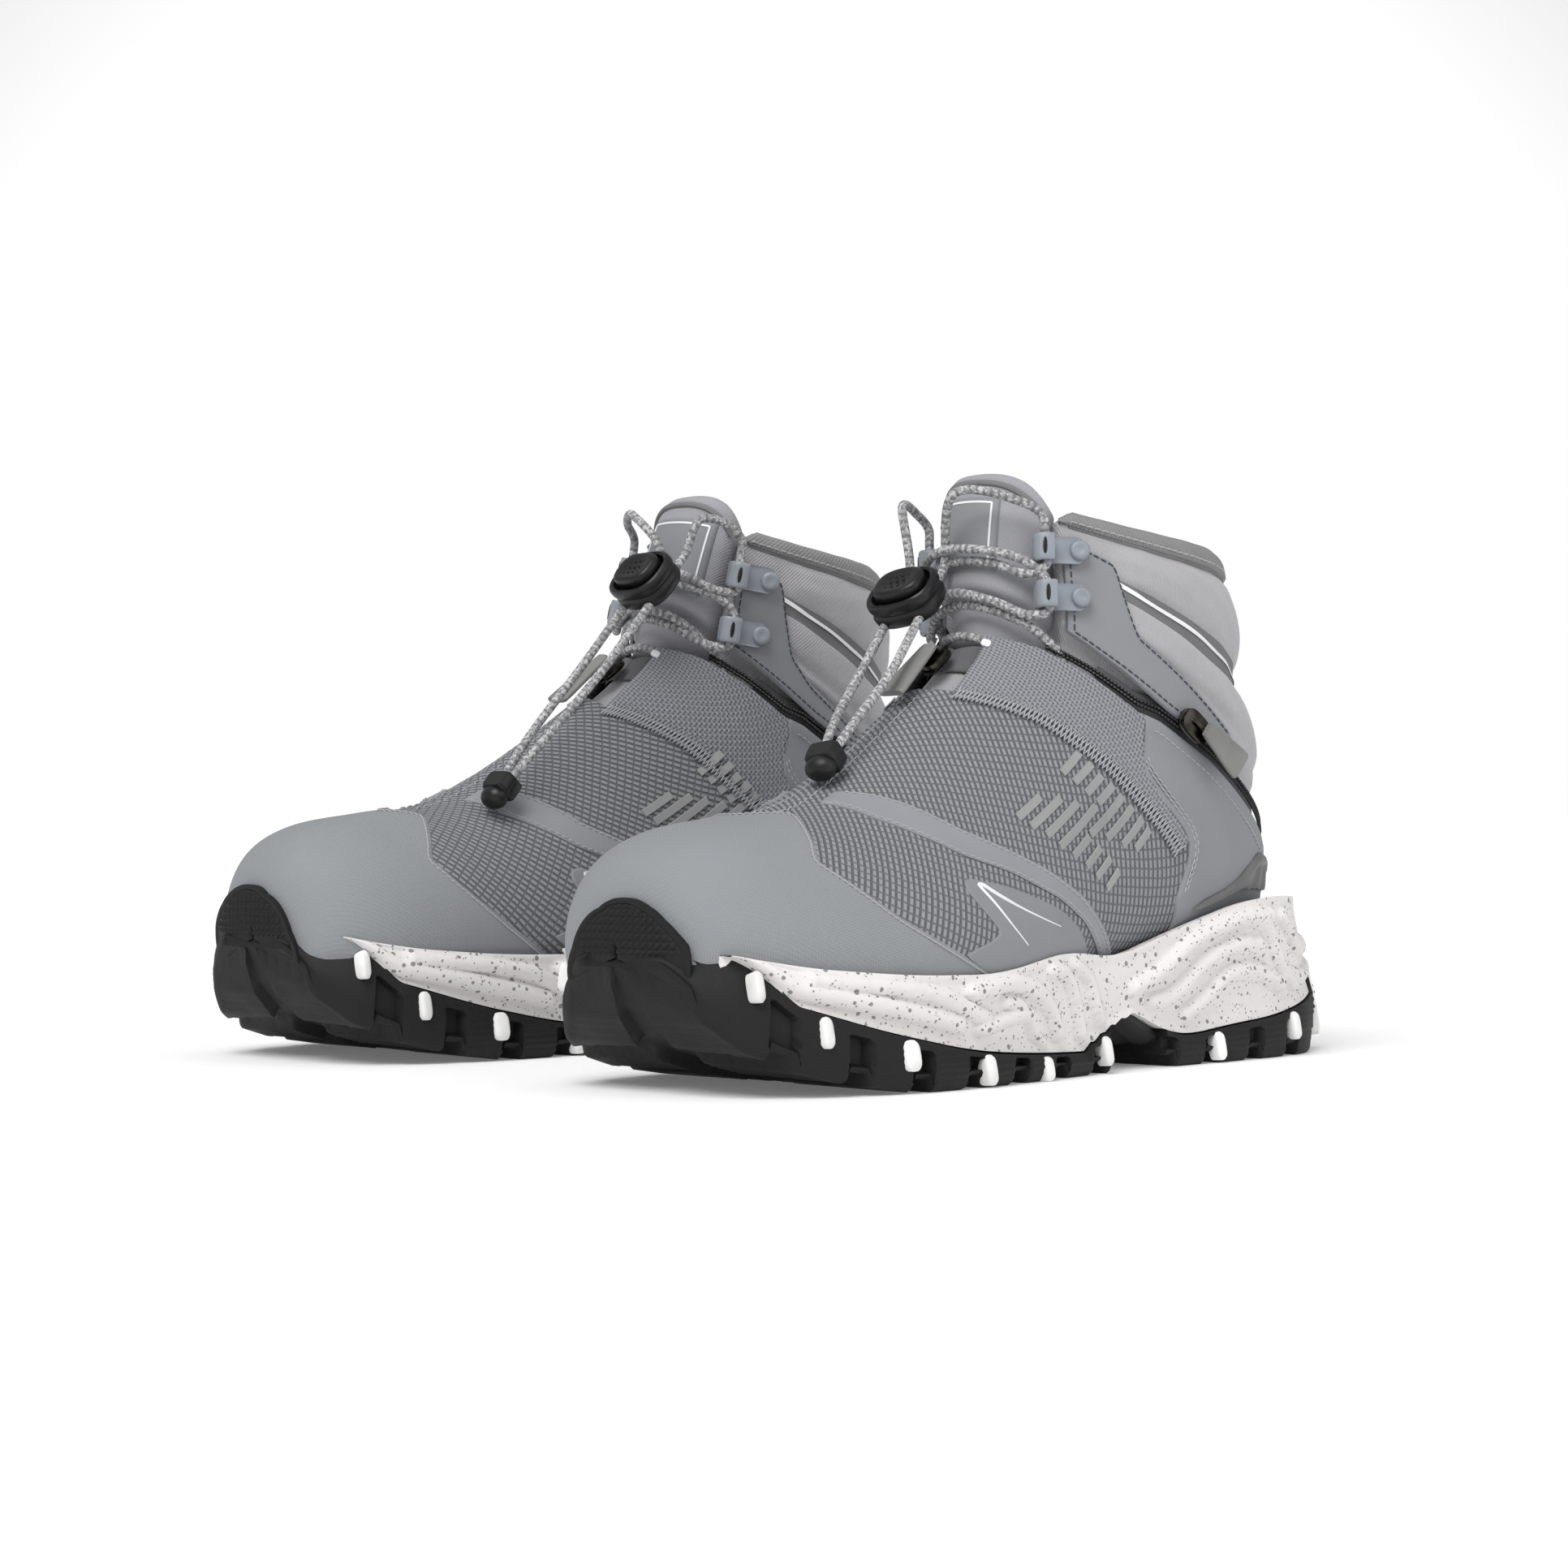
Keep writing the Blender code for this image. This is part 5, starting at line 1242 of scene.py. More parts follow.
def make_vamp(side):
    """The ripstop vamp, with a raised ridge and a thread along its middle."""
    turns = even_turns(-0.75, 0.75)

    def off(s, t):
        ridge = 0.55 * hill(t, 0.005, 0.022) * step_up(s, 0.33, 0.36)
        pucker = 0.22 * np.sin(s * 210) * np.exp(-np.abs(t - 0.005) * 30) * step_up(s, 0.33, 0.4)
        return ridge + pucker

    cloth_panel("vamp", side, turns, lambda t: rounded_curve(CAP_EDGE, t) + 0.003,
                lambda t: rounded_curve(SEAM, t) + 0.004 + 0.014 * step_up(np.abs(t), 0.5, 0.54), off,
                SKIN, finish("ripstop_mesh"), "vamp", ["vamp"])
    middle = [(0.33, 0.03), (0.42, 0.028), (0.5, 0.027), (0.57, 0.026)]
    other = [(s, -0.018) for s, _ in middle]
    add_stitches("vamp_ridge_seam", side, [(middle, 0.2), (other, 0.2)], finish("thread_grey"), "vamp",
                 pitch=2.8,
                 radius=0.25)


def overlay(name, side, turns, low, high, rise, look, slot, step=1.6):
    """A thin piece welded on the upper, rise mm high, on both sides of the boot."""
    for sign, word in ((1.0, "lateral"), (-1.0, "medial")):
        t = sign * np.asarray(turns)
        cloth_panel(f"{name}_{word}", side, t, lambda a: low(np.abs(a)), lambda a: high(np.abs(a)),
                    level(rise), rise + 0.3,
                    look, slot, step=step, roll=0.8)


def make_band(side):
    """The smooth band around the vamp and the panel behind it, with their stitches."""
    overlay("band", side, even_turns(0.06, 0.7), lambda t: rounded_curve(BAND_LOW, t),
            lambda t: rounded_curve(BAND_HIGH, t), 0.7, finish("smooth_light"), "vamp")
    overlay("chevron", side, even_turns(0.352, 0.7), lambda t: rounded_curve(CHEVRON_LOW, t),
            lambda t: np.maximum(rounded_curve(CHEVRON_HIGH, t), rounded_curve(CHEVRON_LOW, t) + 0.002), 0.6,
            finish("smooth_cloth"), "vamp")
    lines = []
    for sign in (1.0, -1.0):
        t = np.linspace(0.08, 0.66, 40)
        lines.append((np.column_stack([rounded_curve(BAND_LOW, t) + 0.004, sign * t]), 0.75))
        lines.append((np.column_stack([rounded_curve(BAND_HIGH, t) - 0.004, sign * t]), 0.75))
    add_stitches("band_stitches", side, lines, finish("thread_grey"), "vamp", pitch=2.6, radius=0.25)


def make_bars(side):
    """Reflective bars over the flex zone and the white lines of the side panel."""
    width = sizes().bar_width / MM
    section = [(-width / 2, 0.0), (-width / 2 + 0.2, 0.45), (width / 2 - 0.2, 0.45), (width / 2, 0.0)]
    paths, normals = [], []
    for sign in (1.0, -1.0):
        for (s0, t0), (s1, t1) in BARS:
            share = np.linspace(0, 1, 9)
            s, t = s0 + (s1 - s0) * share, sign * (t0 + (t1 - t0) * share)
            lift = np.where(s > rounded_curve(SEAM, t) - 0.002, ELASTIC_RISE, 0.1)
            paths.append(surface(s, t, lift))
            normals.append(outward(s, t))
    points, faces = sweep(paths, normals, section)
    add_piece("reflective_bars", side, points, faces, finish("reflective"), "vamp")
    paths, normals = [], []
    arm = [(0.443, 0.535), (0.434, 0.47), (0.428, 0.41), (0.4245, 0.375), (0.4275, 0.372),
           (0.438, 0.405), (0.455, 0.45),
           (0.487, 0.525)]
    for sign in (1.0, -1.0):
        st = smooth_line([(s, sign * t) for s, t in arm], 60)
        paths.append(surface(st[:, 0], st[:, 1], 0.6))
        normals.append(outward(st[:, 0], st[:, 1]))
    scales = np.interp(np.linspace(0, 1, 60), [0, 0.35, 0.57, 0.75, 1], [0.25, 0.7, 1.0, 0.9, 0.25])
    points, faces = sweep(paths, normals, [(-0.75, 0), (-0.75, 0.2), (0.75, 0.2), (0.75, 0)], scales)
    add_piece("side_lines", side, points, faces, finish("print_white"), "vamp")


# ---------------------------------------------------------------------------------------------------------
# Elastic, quarter, counter and zip tape


def elastic_rise(s, t):
    """How far the stretch panels stand out: seated on the quarter's edge, flush at the seam."""
    wide = step_up(-np.abs(t), -0.42, -0.31)
    return ELASTIC_RISE * step_up(s, rounded_curve(SEAM, t) + 0.005, rounded_curve(SEAM, t) + 0.04) * wide


def make_elastic(side):
    """The two stretch panels over the instep, and the zigzag thread that joins them to the vamp."""
    for sign, word in ((1.0, "lateral"), (-1.0, "medial")):
        turns = sign * even_turns(0.086, 0.535)

        def high(t):
            wide = np.abs(t)
            return np.where(wide < 0.386, curve(TOPLINE, wide), curve(QUARTER_FRONT, wide) + 0.006)

        def off(s, t):
            return 0.45 + elastic_rise(s, t) + 0.25 * np.sin(t * 190 + s * 30) * step_up(s, 0.6, 0.66)

        cloth_panel(f"elastic_{word}", side, turns, lambda t: rounded_curve(SEAM, t), high, off, SKIN,
                    finish("elastic_weave"), "elastic", [f"elastic_{word}"])
    zigzag, normals = [], []
    for sign in (1.0, -1.0):
        for phase in (0, 1):
            t = sign * np.linspace(0.1, 0.53, 64)
            s = rounded_curve(SEAM, t) + np.where(np.arange(64) % 2 == phase, 0.008, -0.012)
            fine = np.linspace(0, 63, 63 * 4 + 1)
            s, t = np.interp(fine, np.arange(64), s), np.interp(fine, np.arange(64), t)
            zigzag.append(surface(s, t, 1.0 + elastic_rise(s, t)))
            normals.append(outward(s, t))
    points, faces = sweep(zigzag, normals, round_section(0.3, 5))
    add_piece("overlock_thread", side, points, faces, finish("thread_grey"), "elastic")
    tacks = []
    for sign in (1.0, -1.0):
        tack = blob(3.2, 2.6, [(-0.5, 0.9), (0.5, 1.0), (0.8, 0.8)], 0.6, 16)
        tacks.append((placed(tack[0], frame_on(0.683, sign * 0.094, 2.2)), tack[1]))
    points, faces = join_parts(tacks)
    add_piece("elastic_tack", side, points, faces, finish("print_white"), "elastic")


def make_quarter(side):
    """The smooth quarter, its double seams and the seam under its top edge."""
    turns = even_turns(0.38, 1.62)

    def low(t):
        return rounded_curve(QUARTER_FRONT, 1 - np.abs(t - 1))

    def high(t):
        return curve(TOPLINE, 1 - np.abs(t - 1))

    def off(s, t):
        soft = 0.35 * np.sin(s * 95 + 7 * t) * np.sin(t * 33) * step_up(high(t) - s, 0.01, 0.03)
        return 0.9 + soft + 0.5 * hill(s, high(t) - 0.006, 0.009) + heel_flare(s, t)

    cloth_panel("quarter", side, turns, low, high, off, SKIN, finish("smooth_cloth"), "quarter", ["quarter"])
    lines = []
    for shift in (0.008, 0.0125):
        t = np.linspace(0.4, 0.6, 24)
        for sign in (1.0, -1.0):
            lines.append((np.column_stack([rounded_curve(QUARTER_FRONT, t) + shift, sign * t]), 1.05))
        t = np.linspace(0.4, 1.6, 90)
        if shift < 0.01:
            lines.append((np.column_stack([high(t) - 0.012, t]), 1.25))
    add_stitches("quarter_stitches", side, lines, finish("thread_grey"), "quarter", pitch=2.6, radius=0.27)


def heel_flare(s, t):
    """How far the back of the upper spreads towards the heel's rim."""
    wide = 1 - np.abs(np.abs(t) - 1)
    return HEEL_FLARE * ease(wide, 0.7, 0.95) * (1 - step_up(s, 0.705, 0.785))


def rim_distance(t):
    """Where the upper comes up out of the midsole, at a turn behind the instep."""
    s = np.linspace(0.9, 0.55, 200)
    found = []
    for turn in np.atleast_1d(t):
        line = surface(s, turn, 1.0)
        below = line[:, 2] < curve(RIM_HEIGHT, line[:, 1]) + 2.9
        found.append(s[below.argmax()] if below.any() else s[-1])
    return np.array(found)


def make_counter(side):
    """The moulded heel counter: a thick rim over a recessed field with upright ribs."""
    turns = even_turns(0.645, 1.355, 1.0)
    rim = dict(zip(turns, rim_distance(turns)))

    def low(t):
        return np.array([rim[turn] for turn in t])

    def high(t):
        wide = 1 - np.abs(t - 1)
        rise = np.sqrt(ease(wide, 0.63, 0.75))
        return low(t) + np.maximum(rounded_curve(COUNTER_TOP, wide) - low(t), 0.01) * rise

    def off(s, t):
        start, span = low(t[0]), high(t[0]) - low(t[0])
        share = np.clip((s - start) / np.maximum(span, 0.005), 0, 1)
        field = ease(share, 0.0, 0.1) * (1 - ease(share, 0.66, 0.8)) * ease(1 - np.abs(t - 1), 0.67, 0.71)
        rib = 0.8 * hill(np.mod(t * 21.0, 1.0), 0.5, 0.22)
        return 2.9 - field * (1.2 - rib) + heel_flare(s, t)

    cloth_panel("heel_counter", side, turns, low, high, off, 1.7, finish("counter_rubber"), "heel_counter",
                ["heel_counter"], step=0.8, roll=1.3)


def make_tape(side):
    """The zip tape along the topline, with its coil of teeth."""
    turns = np.linspace(0, 2, 300, endpoint=False)

    def low(t):
        wide = 1 - np.abs(t - 1)
        return np.where(wide < 0.3, 0.63 + 0.03 * step_up(wide, 0.0, 0.3), curve(TOPLINE, wide) - 0.01)

    def high(t):
        wide = 1 - np.abs(t - 1)
        return np.where(wide < 0.3, 0.672 + 0.06 * step_up(wide, 0.0, 0.3), curve(TOPLINE, wide) + 0.022)

    cloth_panel("zip_tape", side, turns, low, high, level(TAPE_TOP), 0.7, finish("twill_tape"),
                "zip_tape", ["zip_tape"],
                wrap=True)
    rows = []
    for sign in (1.0, -1.0):
        t = np.linspace(0.2, 1.0, 120)
        s = curve(TOPLINE, t)
        rows.append((np.column_stack([s + 0.0065, sign * t]), 0.5))
        rows.append((np.column_stack([s + 0.011, sign * t]), 0.3))
    add_stitches("zip_teeth", side, rows, finish("black_plastic"), "zip_tape", pitch=1.45, radius=0.62,
                 length=0.8)


# ---------------------------------------------------------------------------------------------------------
# Bootie, collar and tongue


def shaft_height(s, t):
    """Distances on the shaft, drawn down near the tongue, where the collar is lower than at the back."""
    wide = 1 - np.abs(np.abs(t) - 1)
    drop = COLLAR_DROP * (1 - ease(wide, 0.22, 0.8))
    return s - drop * step_up(s, 0.86, 0.955)


def bootie_outside(s, t):
    """The bootie's outside: under the outer shoe below, then rolls of padding on the shaft."""
    wide = 1 - np.abs(np.abs(t) - 1)
    start = np.maximum(0.757, curve(TOPLINE, wide) + 0.032)
    base = BOOTIE_LOW * (1 - step_up(s, start - 0.004, start + 0.018))
    gusset = (1 - step_up(wide, 0.205, 0.225)) * step_up(s, 0.655, 0.67)
    back = ease(wide, 0.35, 0.9)
    upper = (2.6 + 1.4 * back) * hill(s, 0.924, 0.037)
    second = (1.9 + 1.3 * back) * hill(s, 0.832, 0.024)
    third = (0.5 + 2.2 * back) * hill(s, 0.790, 0.018)
    sunk = -1.0 * hill(s, 0.869, 0.017) - 0.8 * hill(s, 0.808, 0.008)
    free = ease(wide, 0.33, 0.42) * step_up(s, start, start + 0.02)
    wrinkle = 0.3 * np.sin(t * 31 + 40 * s) * np.sin(s * 120 + 3 * np.sin(t * 9)) * free
    shaped = base + (upper + second + third + sunk) * free + wrinkle
    return shaped * (1 - gusset) + GUSSET * gusset


def bootie_inside(s, t):
    """The bootie's inside: a thin wall around the foot, a padded one around the ankle."""
    wall = BOOTIE_WALL + (SHAFT_WALL - BOOTIE_WALL - 2) * step_up(s, 0.74, 0.84)
    return np.minimum(-wall, bootie_outside(s, t) - 2.2)


def make_bootie(side):
    """The inner bootie: a knit shell with puffed rolls, the dark band between them and its lines."""
    turns = np.linspace(0, 2, 260, endpoint=False)
    share = np.concatenate([np.linspace(0.05, 0.6, 40), np.linspace(0.61, 0.972, 112)])[:, None]
    tt = np.broadcast_to(np.where(turns > 1, turns - 2, turns), (len(share), len(turns)))
    ss = np.broadcast_to(share, tt.shape).copy()
    out, back, ss = bootie_outside(ss, tt), bootie_inside(ss, tt) - 2.0, shaft_height(ss, tt)
    outer, inner = surface(ss, tt, out), surface(ss, tt, back)
    points, faces = shell_points(outer, inner, True)
    place = cloth_map(ss, tt).reshape(-1, 2)
    piece = add_piece("bootie_shell", side, points, faces, finish("silver_knit"), "lining", ["bootie"],
                      uv=np.concatenate([place, place]), sharp=80)
    band = even_turns(0.245, 1.755)
    for name, centre, half, look in (("shaft_band", 0.8695, 0.0175, "shaft_band"),
                                     ("shaft_piping", 0.9655, 0.003, "piping_cloth")):
        def edge(t, height):
            return shaft_height(height, np.where(t > 1, t - 2, t))

        def riding(s, t, centre=centre, half=half):
            wide = np.where(t > 1, t - 2, t)
            share = (s - edge(t, centre - half)) / (edge(t, centre + half) - edge(t, centre - half))
            return bootie_outside(centre + half * (2 * share - 1), wide) + 0.55

        cloth_panel(name, side, band, lambda t, h=centre - half: edge(t, h), lambda t,
                    h=centre + half: edge(t, h),
                    riding, 1.2, finish(look), "lining", step=0.9)
    paths, normals = [], []
    for low, high in ((0.26, 0.97), (1.03, 1.74)):
        t = np.linspace(low, high, 120)
        wide = np.where(t > 1, t - 2, t)
        s = np.full(len(t), 0.8745)
        paths.append(surface(shaft_height(s, wide), wide, bootie_outside(s, wide) + 0.65))
        normals.append(outward(s, wide))
    points, faces = sweep(paths, normals, [(-0.75, 0), (-0.75, 0.2), (0.75, 0.2), (0.75, 0)])
    add_piece("shaft_lines", side, points, faces, finish("print_white"), "lining")


def make_collar(side):
    """The padded collar: a round roll over the rim that puffs between its seams."""
    turns = even_turns(0.225, 1.775)
    angle = np.linspace(0, math.pi, 26)[:, None]
    t = np.where(turns > 1, turns - 2, turns)[None]
    wide = 1 - np.abs(np.abs(t) - 1)
    puff = 1 + 0.05 * np.sin(wide * 60) + 0.12 * ease(wide, 0.4, 1.0)
    end = np.minimum(1.0, np.minimum(turns - turns[0], turns[-1] - turns)[None] * 115 / 5 + 0.35)
    base = shaft_height(np.full_like(wide, 0.955), t)
    s = base + 0.013 + 0.028 * np.sin(angle) ** 0.75 * end
    off = -4.4 + 5.6 * np.cos(angle) * puff
    tt = np.broadcast_to(t, (len(angle), t.shape[1]))
    ss, oo = np.broadcast_arrays(s, off)
    outer = surface(ss, tt, oo)
    inner = surface(ss * 0 + base + 0.011, tt, np.clip(oo, -8.4, -0.8))
    points, faces = shell_points(outer, inner)
    place = cloth_map(ss, tt).reshape(-1, 2)
    piece = add_piece("collar_roll", side, points, faces, finish("collar_twill"), "collar",
                      ["collar_padding"],
                      uv=np.concatenate([place, place]), sharp=80)
    t = np.linspace(0.25, 1.75, 120)
    wide = np.where(t > 1, t - 2, t)
    lines = [(np.column_stack([shaft_height(np.full(120, 0.955), wide) + 0.017, wide])[part], 1.5)
             for part in (slice(0, 59), slice(61, 120))]
    add_stitches("collar_seam", side, lines, finish("thread_grey"), "collar", pitch=2.8, radius=0.3)


def tongue_outside(s, t):
    """The tongue's outside: low under the lace, padded above, thin at its rim."""
    low = -4.5 * (1 - ease(s, 0.757, 0.785))
    pad = 0.9 * hill(s, 0.87, 0.12) * (1 - (t / 0.2) ** 2)
    return low + pad - 2.2 * (np.abs(t) / 0.19) ** 4 - 2.5 * step_up(s, 0.97, 1.0) ** 2


def make_tongue(side):
    """The padded tongue with a binding near its edge, and its blank patch in a thin frame."""
    turns = even_turns(-0.2, 0.215, 1.3)

    def high(t):
        return 1 - 0.04 * (np.abs(t) / 0.19) ** 3

    piece = cloth_panel("tongue", side, turns, lambda t: np.full(len(t), 0.682), high, tongue_outside,
                        TONGUE_THICKNESS - 1, finish("tongue_knit"), "tongue", ["tongue"], step=1.3,
                        roll=3.0)
    t = np.linspace(-0.19, 0.205, 60)
    rim = np.column_stack([1 - 0.03 - 0.04 * (np.abs(t) / 0.19) ** 3, t])
    st = smooth_line(rim, 130)
    points = surface(st[:, 0], st[:, 1], tongue_outside(st[:, 0], st[:, 1]) + 0.1)
    shape = sweep([points], [outward(st[:, 0], st[:, 1])], round_section(1.1, 8))
    add_piece("tongue_piping", side, *shape, finish("piping_cloth"), "tongue")
    patch = np.linspace(-0.15, 0.085, 40)

    def riding(s, t):
        return tongue_outside(s, t) + 1.1

    cloth_panel("tongue_patch", side, patch, lambda t: np.full(len(t), 0.812),
                lambda t: np.full(len(t), 0.942),
                riding, 1.2, finish("smooth_cloth"), "eyestay", ["tongue_label"], step=1.2)
    corner = [(0.822, -0.13), (0.822, 0.066), (0.932, 0.066), (0.932, -0.13), (0.822, -0.13)]
    paths, normals = [], []
    for (s0, t0), (s1, t1) in zip(corner[:-1], corner[1:]):
        share = np.linspace(0, 1, 14)
        s, t = s0 + (s1 - s0) * share, t0 + (t1 - t0) * share
        paths.append(surface(s, t, tongue_outside(s, t) + 1.1))
        normals.append(outward(s, t))
    points, faces = sweep(paths, normals, [(-0.35, 0), (-0.35, 0.18), (0.35, 0.18), (0.35, 0)])
    add_piece("patch_frame", side, points, faces, finish("print_white"), "eyestay")


def make_insole(side):
    """The insole, with a rounded edge."""
    turns = even_turns(0.78, 1.22)
    cloth_panel("insole", side, turns, lambda t: np.full(len(t), 0.13), lambda t: np.full(len(t), 0.675),
                level(-8.2),
                2.6, finish("insole_cloth"), "insole", ["insole"], roll=1.6)


# ---------------------------------------------------------------------------------------------------------
# Straps, hooks, sliders and pulls

STRAPS = {
    "lateral": (1.0, [(0.23, 0.765), (0.3, 0.762), (0.43, 0.76), (0.59, 0.772)],
                [(0.23, 0.9), (0.352, 0.892), (0.366, 0.818), (0.42, 0.812), (0.59, 0.794)]),
    "medial": (-1.0, [(0.23, 0.762), (0.43, 0.76), (0.59, 0.772)],
               [(0.23, 0.888), (0.35, 0.892), (0.366, 0.81), (0.42, 0.791), (0.59, 0.785)]),
}


def make_straps(side):
    """The two eyestay straps that carry the hooks and run back to the heel, stitched along both edges and
    across the front.
    """
    for word, (sign, low, high) in STRAPS.items():
        turns = sign * even_turns(0.235, 0.59)
        cloth_panel(f"eyestay_{word}", side, turns, lambda t, low=low: rounded_curve(low, np.abs(t)),
                    lambda t, high=high: rounded_curve(high, np.abs(t)), level(1.8), 1.5,
                    finish("smooth_cloth"),
                    "eyestay", [f"eyestay_{word}"])
        t = np.linspace(0.25, 0.575, 70)
        lower = np.column_stack([rounded_curve(low, t) + 0.006, sign * t])
        upper = np.column_stack([rounded_curve(high, t) - 0.006, sign * t])
        front = np.column_stack([np.linspace(lower[0, 0], upper[0, 0], 20), np.full(20, sign * 0.25)])
        lines = [(lower, 1.85), (upper, 1.85), (front, 1.85)]
        add_stitches(f"eyestay_{word}_stitches", side, lines, finish("thread_dark"), "eyestay", pitch=2.7,
                     radius=0.28)


HOOK_PROFILE = [
    (11.5, 0), (11.5, 1.1), (-2, 1.1), (-2.6, 2.4), (-2.6, 3.6), (-1.4, 5.3), (0.6, 5.8), (2.4, 5.5),
    (2.8, 6.5),
    (0.6, 7), (-2.2, 6.4), (-3.8, 4.4), (-3.8, 1.8), (-2.6, 0),
]


def make_hooks(side):
    """The four lace hooks: a curled strip with rounded ends, and a rivet through its foot."""
    profile = smooth_line(HOOK_PROFILE + HOOK_PROFILE[:1], 70)[:-1]
    for node, (s, t) in HOOK_PLACES.items():
        turn = 1.0 if t > 0 else -1.0
        rings = []
        for y in np.concatenate([[-4.5, -4.3, -3.8], np.linspace(-3.0, 3.0, 7), [3.8, 4.3, 4.5]]):
            slim = 1 - 0.05 * (abs(y) > 4.2) * (abs(y) - 4.0) * 4
            middle = profile.mean(0)
            ring = middle + (profile - middle) * slim
            rings.append(np.column_stack([turn * ring[:, 0], np.full(len(ring), y), ring[:, 1]]))
        hook = rings_piece(rings)
        foot = blob(6.6, 6.6, [(0.0, 1.0), (2.0, 1.0), (2.6, 0.88), (2.9, 0.6), (2.55, 0.35)], 1.0, 24,
                    (turn * 11.5, 0))
        slot = blob(1.4, 5.6, [(6.2, 1.0), (7.12, 1.0), (7.2, 0.8)], 0.9, 16, (turn * -0.4, 0))
        place = frame_on(s, t, 2.0)
        points, faces = join_parts([hook, foot])
        add_piece(node, side, placed(points, place), faces, finish("hook_paint"), "hook", [node])
        add_piece(f"{node}_slot", side, placed(slot[0], place), slot[1], finish("black_plastic"), "hook")


def slider_place(which):
    """A zip slider's place: its across, up and outward axes."""
    if which == "front":
        return frame_on(0.628, 0.0, 1.0)
    origin, axes = frame_on(0.762, 0.47, 2.3)
    turned = math.radians(SIDE_SLIDER_TURN)
    along = -axes[:, 0] * math.cos(turned) + axes[:, 1] * math.sin(turned)
    return origin, np.column_stack([np.cross(along, axes[:, 2]), along, axes[:, 2]])


def make_slider(side, which):
    """A zip slider with its bridge, and the rubber pull on its link."""
    place = slider_place(which)
    width, length, height = SLIDER_SIZE
    base = blob(width, length, [(0.0, 0.92), (0.5, 1.0), (1.3, 1.0), (1.6, 0.9), (2.3, 0.88), (2.6, 1.0),
                                (3.3, 0.98), (3.6, 0.85)], 0.6, 32)
    bridge = tube([(0, -4.0, 3.2), (0, -3.2, 4.3), (0, -0.5, 4.6), (0, 2.2, 4.4), (0, 3.2, 3.2)], 0.75, 10)
    points, faces = join_parts([base, bridge])
    add_piece(f"slider_{which}", side, placed(points, place), faces, finish("dark_metal"), "slider",
              [f"zip_slider_{which}"], f"{which}_slider")
    lift = height + 1.9
    width, length, thick = PULL_SIZE
    start = 2.8 if which == "side" else 0.0
    length = length * (0.76 if which == "side" else 1.0)
    y = np.concatenate([[-1.2, -0.9], np.linspace(0, length - 3, 30),
                        [length - 2, length - 1.2, length - 0.6]])
    half = width / 2 * np.interp(y, [-1.2, 0.5, 3, length - 3, length - 1.2, length - 0.6],
                                 [0.5, 0.6, 0.66, 1.0, 1.0, 0.9])
    a = np.linspace(0, 2 * math.pi, 28, endpoint=False)
    ridge = 1 + 0.14 * np.sin(y * 2.4) ** 2 * (y > 8) * (y < length - 4)
    x = np.sign(np.cos(a)) * np.abs(np.cos(a)) ** 0.5
    z = np.sign(np.sin(a)) * np.abs(np.sin(a)) ** 0.6
    rings = np.stack([half[:, None] * x, np.broadcast_to(-y[:, None] - start, (len(y), 28)),
                      lift + thick / 2 * 0.88 * ridge[:, None] * z], -1)
    points, faces = rings_piece(rings)
    add_piece(f"pull_{which}", side, placed(points, place), faces, finish("pull_rubber"), "pull",
              [f"zip_pull_{which}"], f"{which}_pull")


# ---------------------------------------------------------------------------------------------------------
# Operators, panel and the run


class BootOperator:
    """What all piece makers share: they make their pieces for both boots."""

    bl_options = {"REGISTER", "UNDO"}
    makers = ()

    def execute(self, context):
        for side in SIDES:
            for maker in self.makers:
                maker(side)
        return {"FINISHED"}


class BOOT_OT_looks(bpy.types.Operator):
    """Make every material of the boots"""

    bl_idname = "boot.looks"
    bl_label = "Materials"

    def execute(self, context):
        make_looks()
        return {"FINISHED"}


class BOOT_OT_sole(BootOperator, bpy.types.Operator):
    """Make the midsole, its ribs, the arch plate and the white inserts"""

    bl_idname = "boot.sole"
    bl_label = "Midsole"
    makers = (make_midsole, make_shank, make_inserts)


class BOOT_OT_outsole(BootOperator, bpy.types.Operator):
    """Make the rubber outsoles, the toe bumper and the heel wrap"""

    bl_idname = "boot.outsole"
    bl_label = "Outsole"
    makers = (
        lambda side: sole_block("forefoot_rubber", side, -153.0, FOREFOOT_END, -153.0, ["outsole_forefoot"]),
        lambda side: sole_block("heel_rubber", side, HEEL_START, 153.5, HEEL_START, ["outsole_heel"]),
        make_bumper,
        make_heel_wrap,
    )


class BOOT_OT_vamp(BootOperator, bpy.types.Operator):
    """Make the toe cap, the vamp and what is welded and printed on it"""

    bl_idname = "boot.vamp"
    bl_label = "Toe cap and vamp"
    makers = (make_cap, make_vamp, make_band, make_bars)


class BOOT_OT_quarter(BootOperator, bpy.types.Operator):
    """Make the stretch panels, the quarter, the heel counter and the zip tape"""

    bl_idname = "boot.quarter"
    bl_label = "Elastic, quarter, counter and zip tape"
    makers = (make_elastic, make_quarter, make_counter, make_tape)


class BOOT_OT_bootie(BootOperator, bpy.types.Operator):
    """Make the padded bootie, its collar, the insole and the tongue"""

    bl_idname = "boot.bootie"
    bl_label = "Bootie, collar and tongue"
    makers = (make_bootie, make_collar, make_insole, make_tongue)


class BOOT_OT_straps(BootOperator, bpy.types.Operator):
    """Make the eyestay straps and the lace hooks"""

    bl_idname = "boot.straps"
    bl_label = "Straps and hooks"
    makers = (make_straps, make_hooks)


class BOOT_OT_zips(BootOperator, bpy.types.Operator):
    """Make the zip sliders and their pulls"""

    bl_idname = "boot.zips"
    bl_label = "Zip sliders and pulls"
    makers = (lambda side: make_slider(side, "front"), lambda side: make_slider(side, "side"))


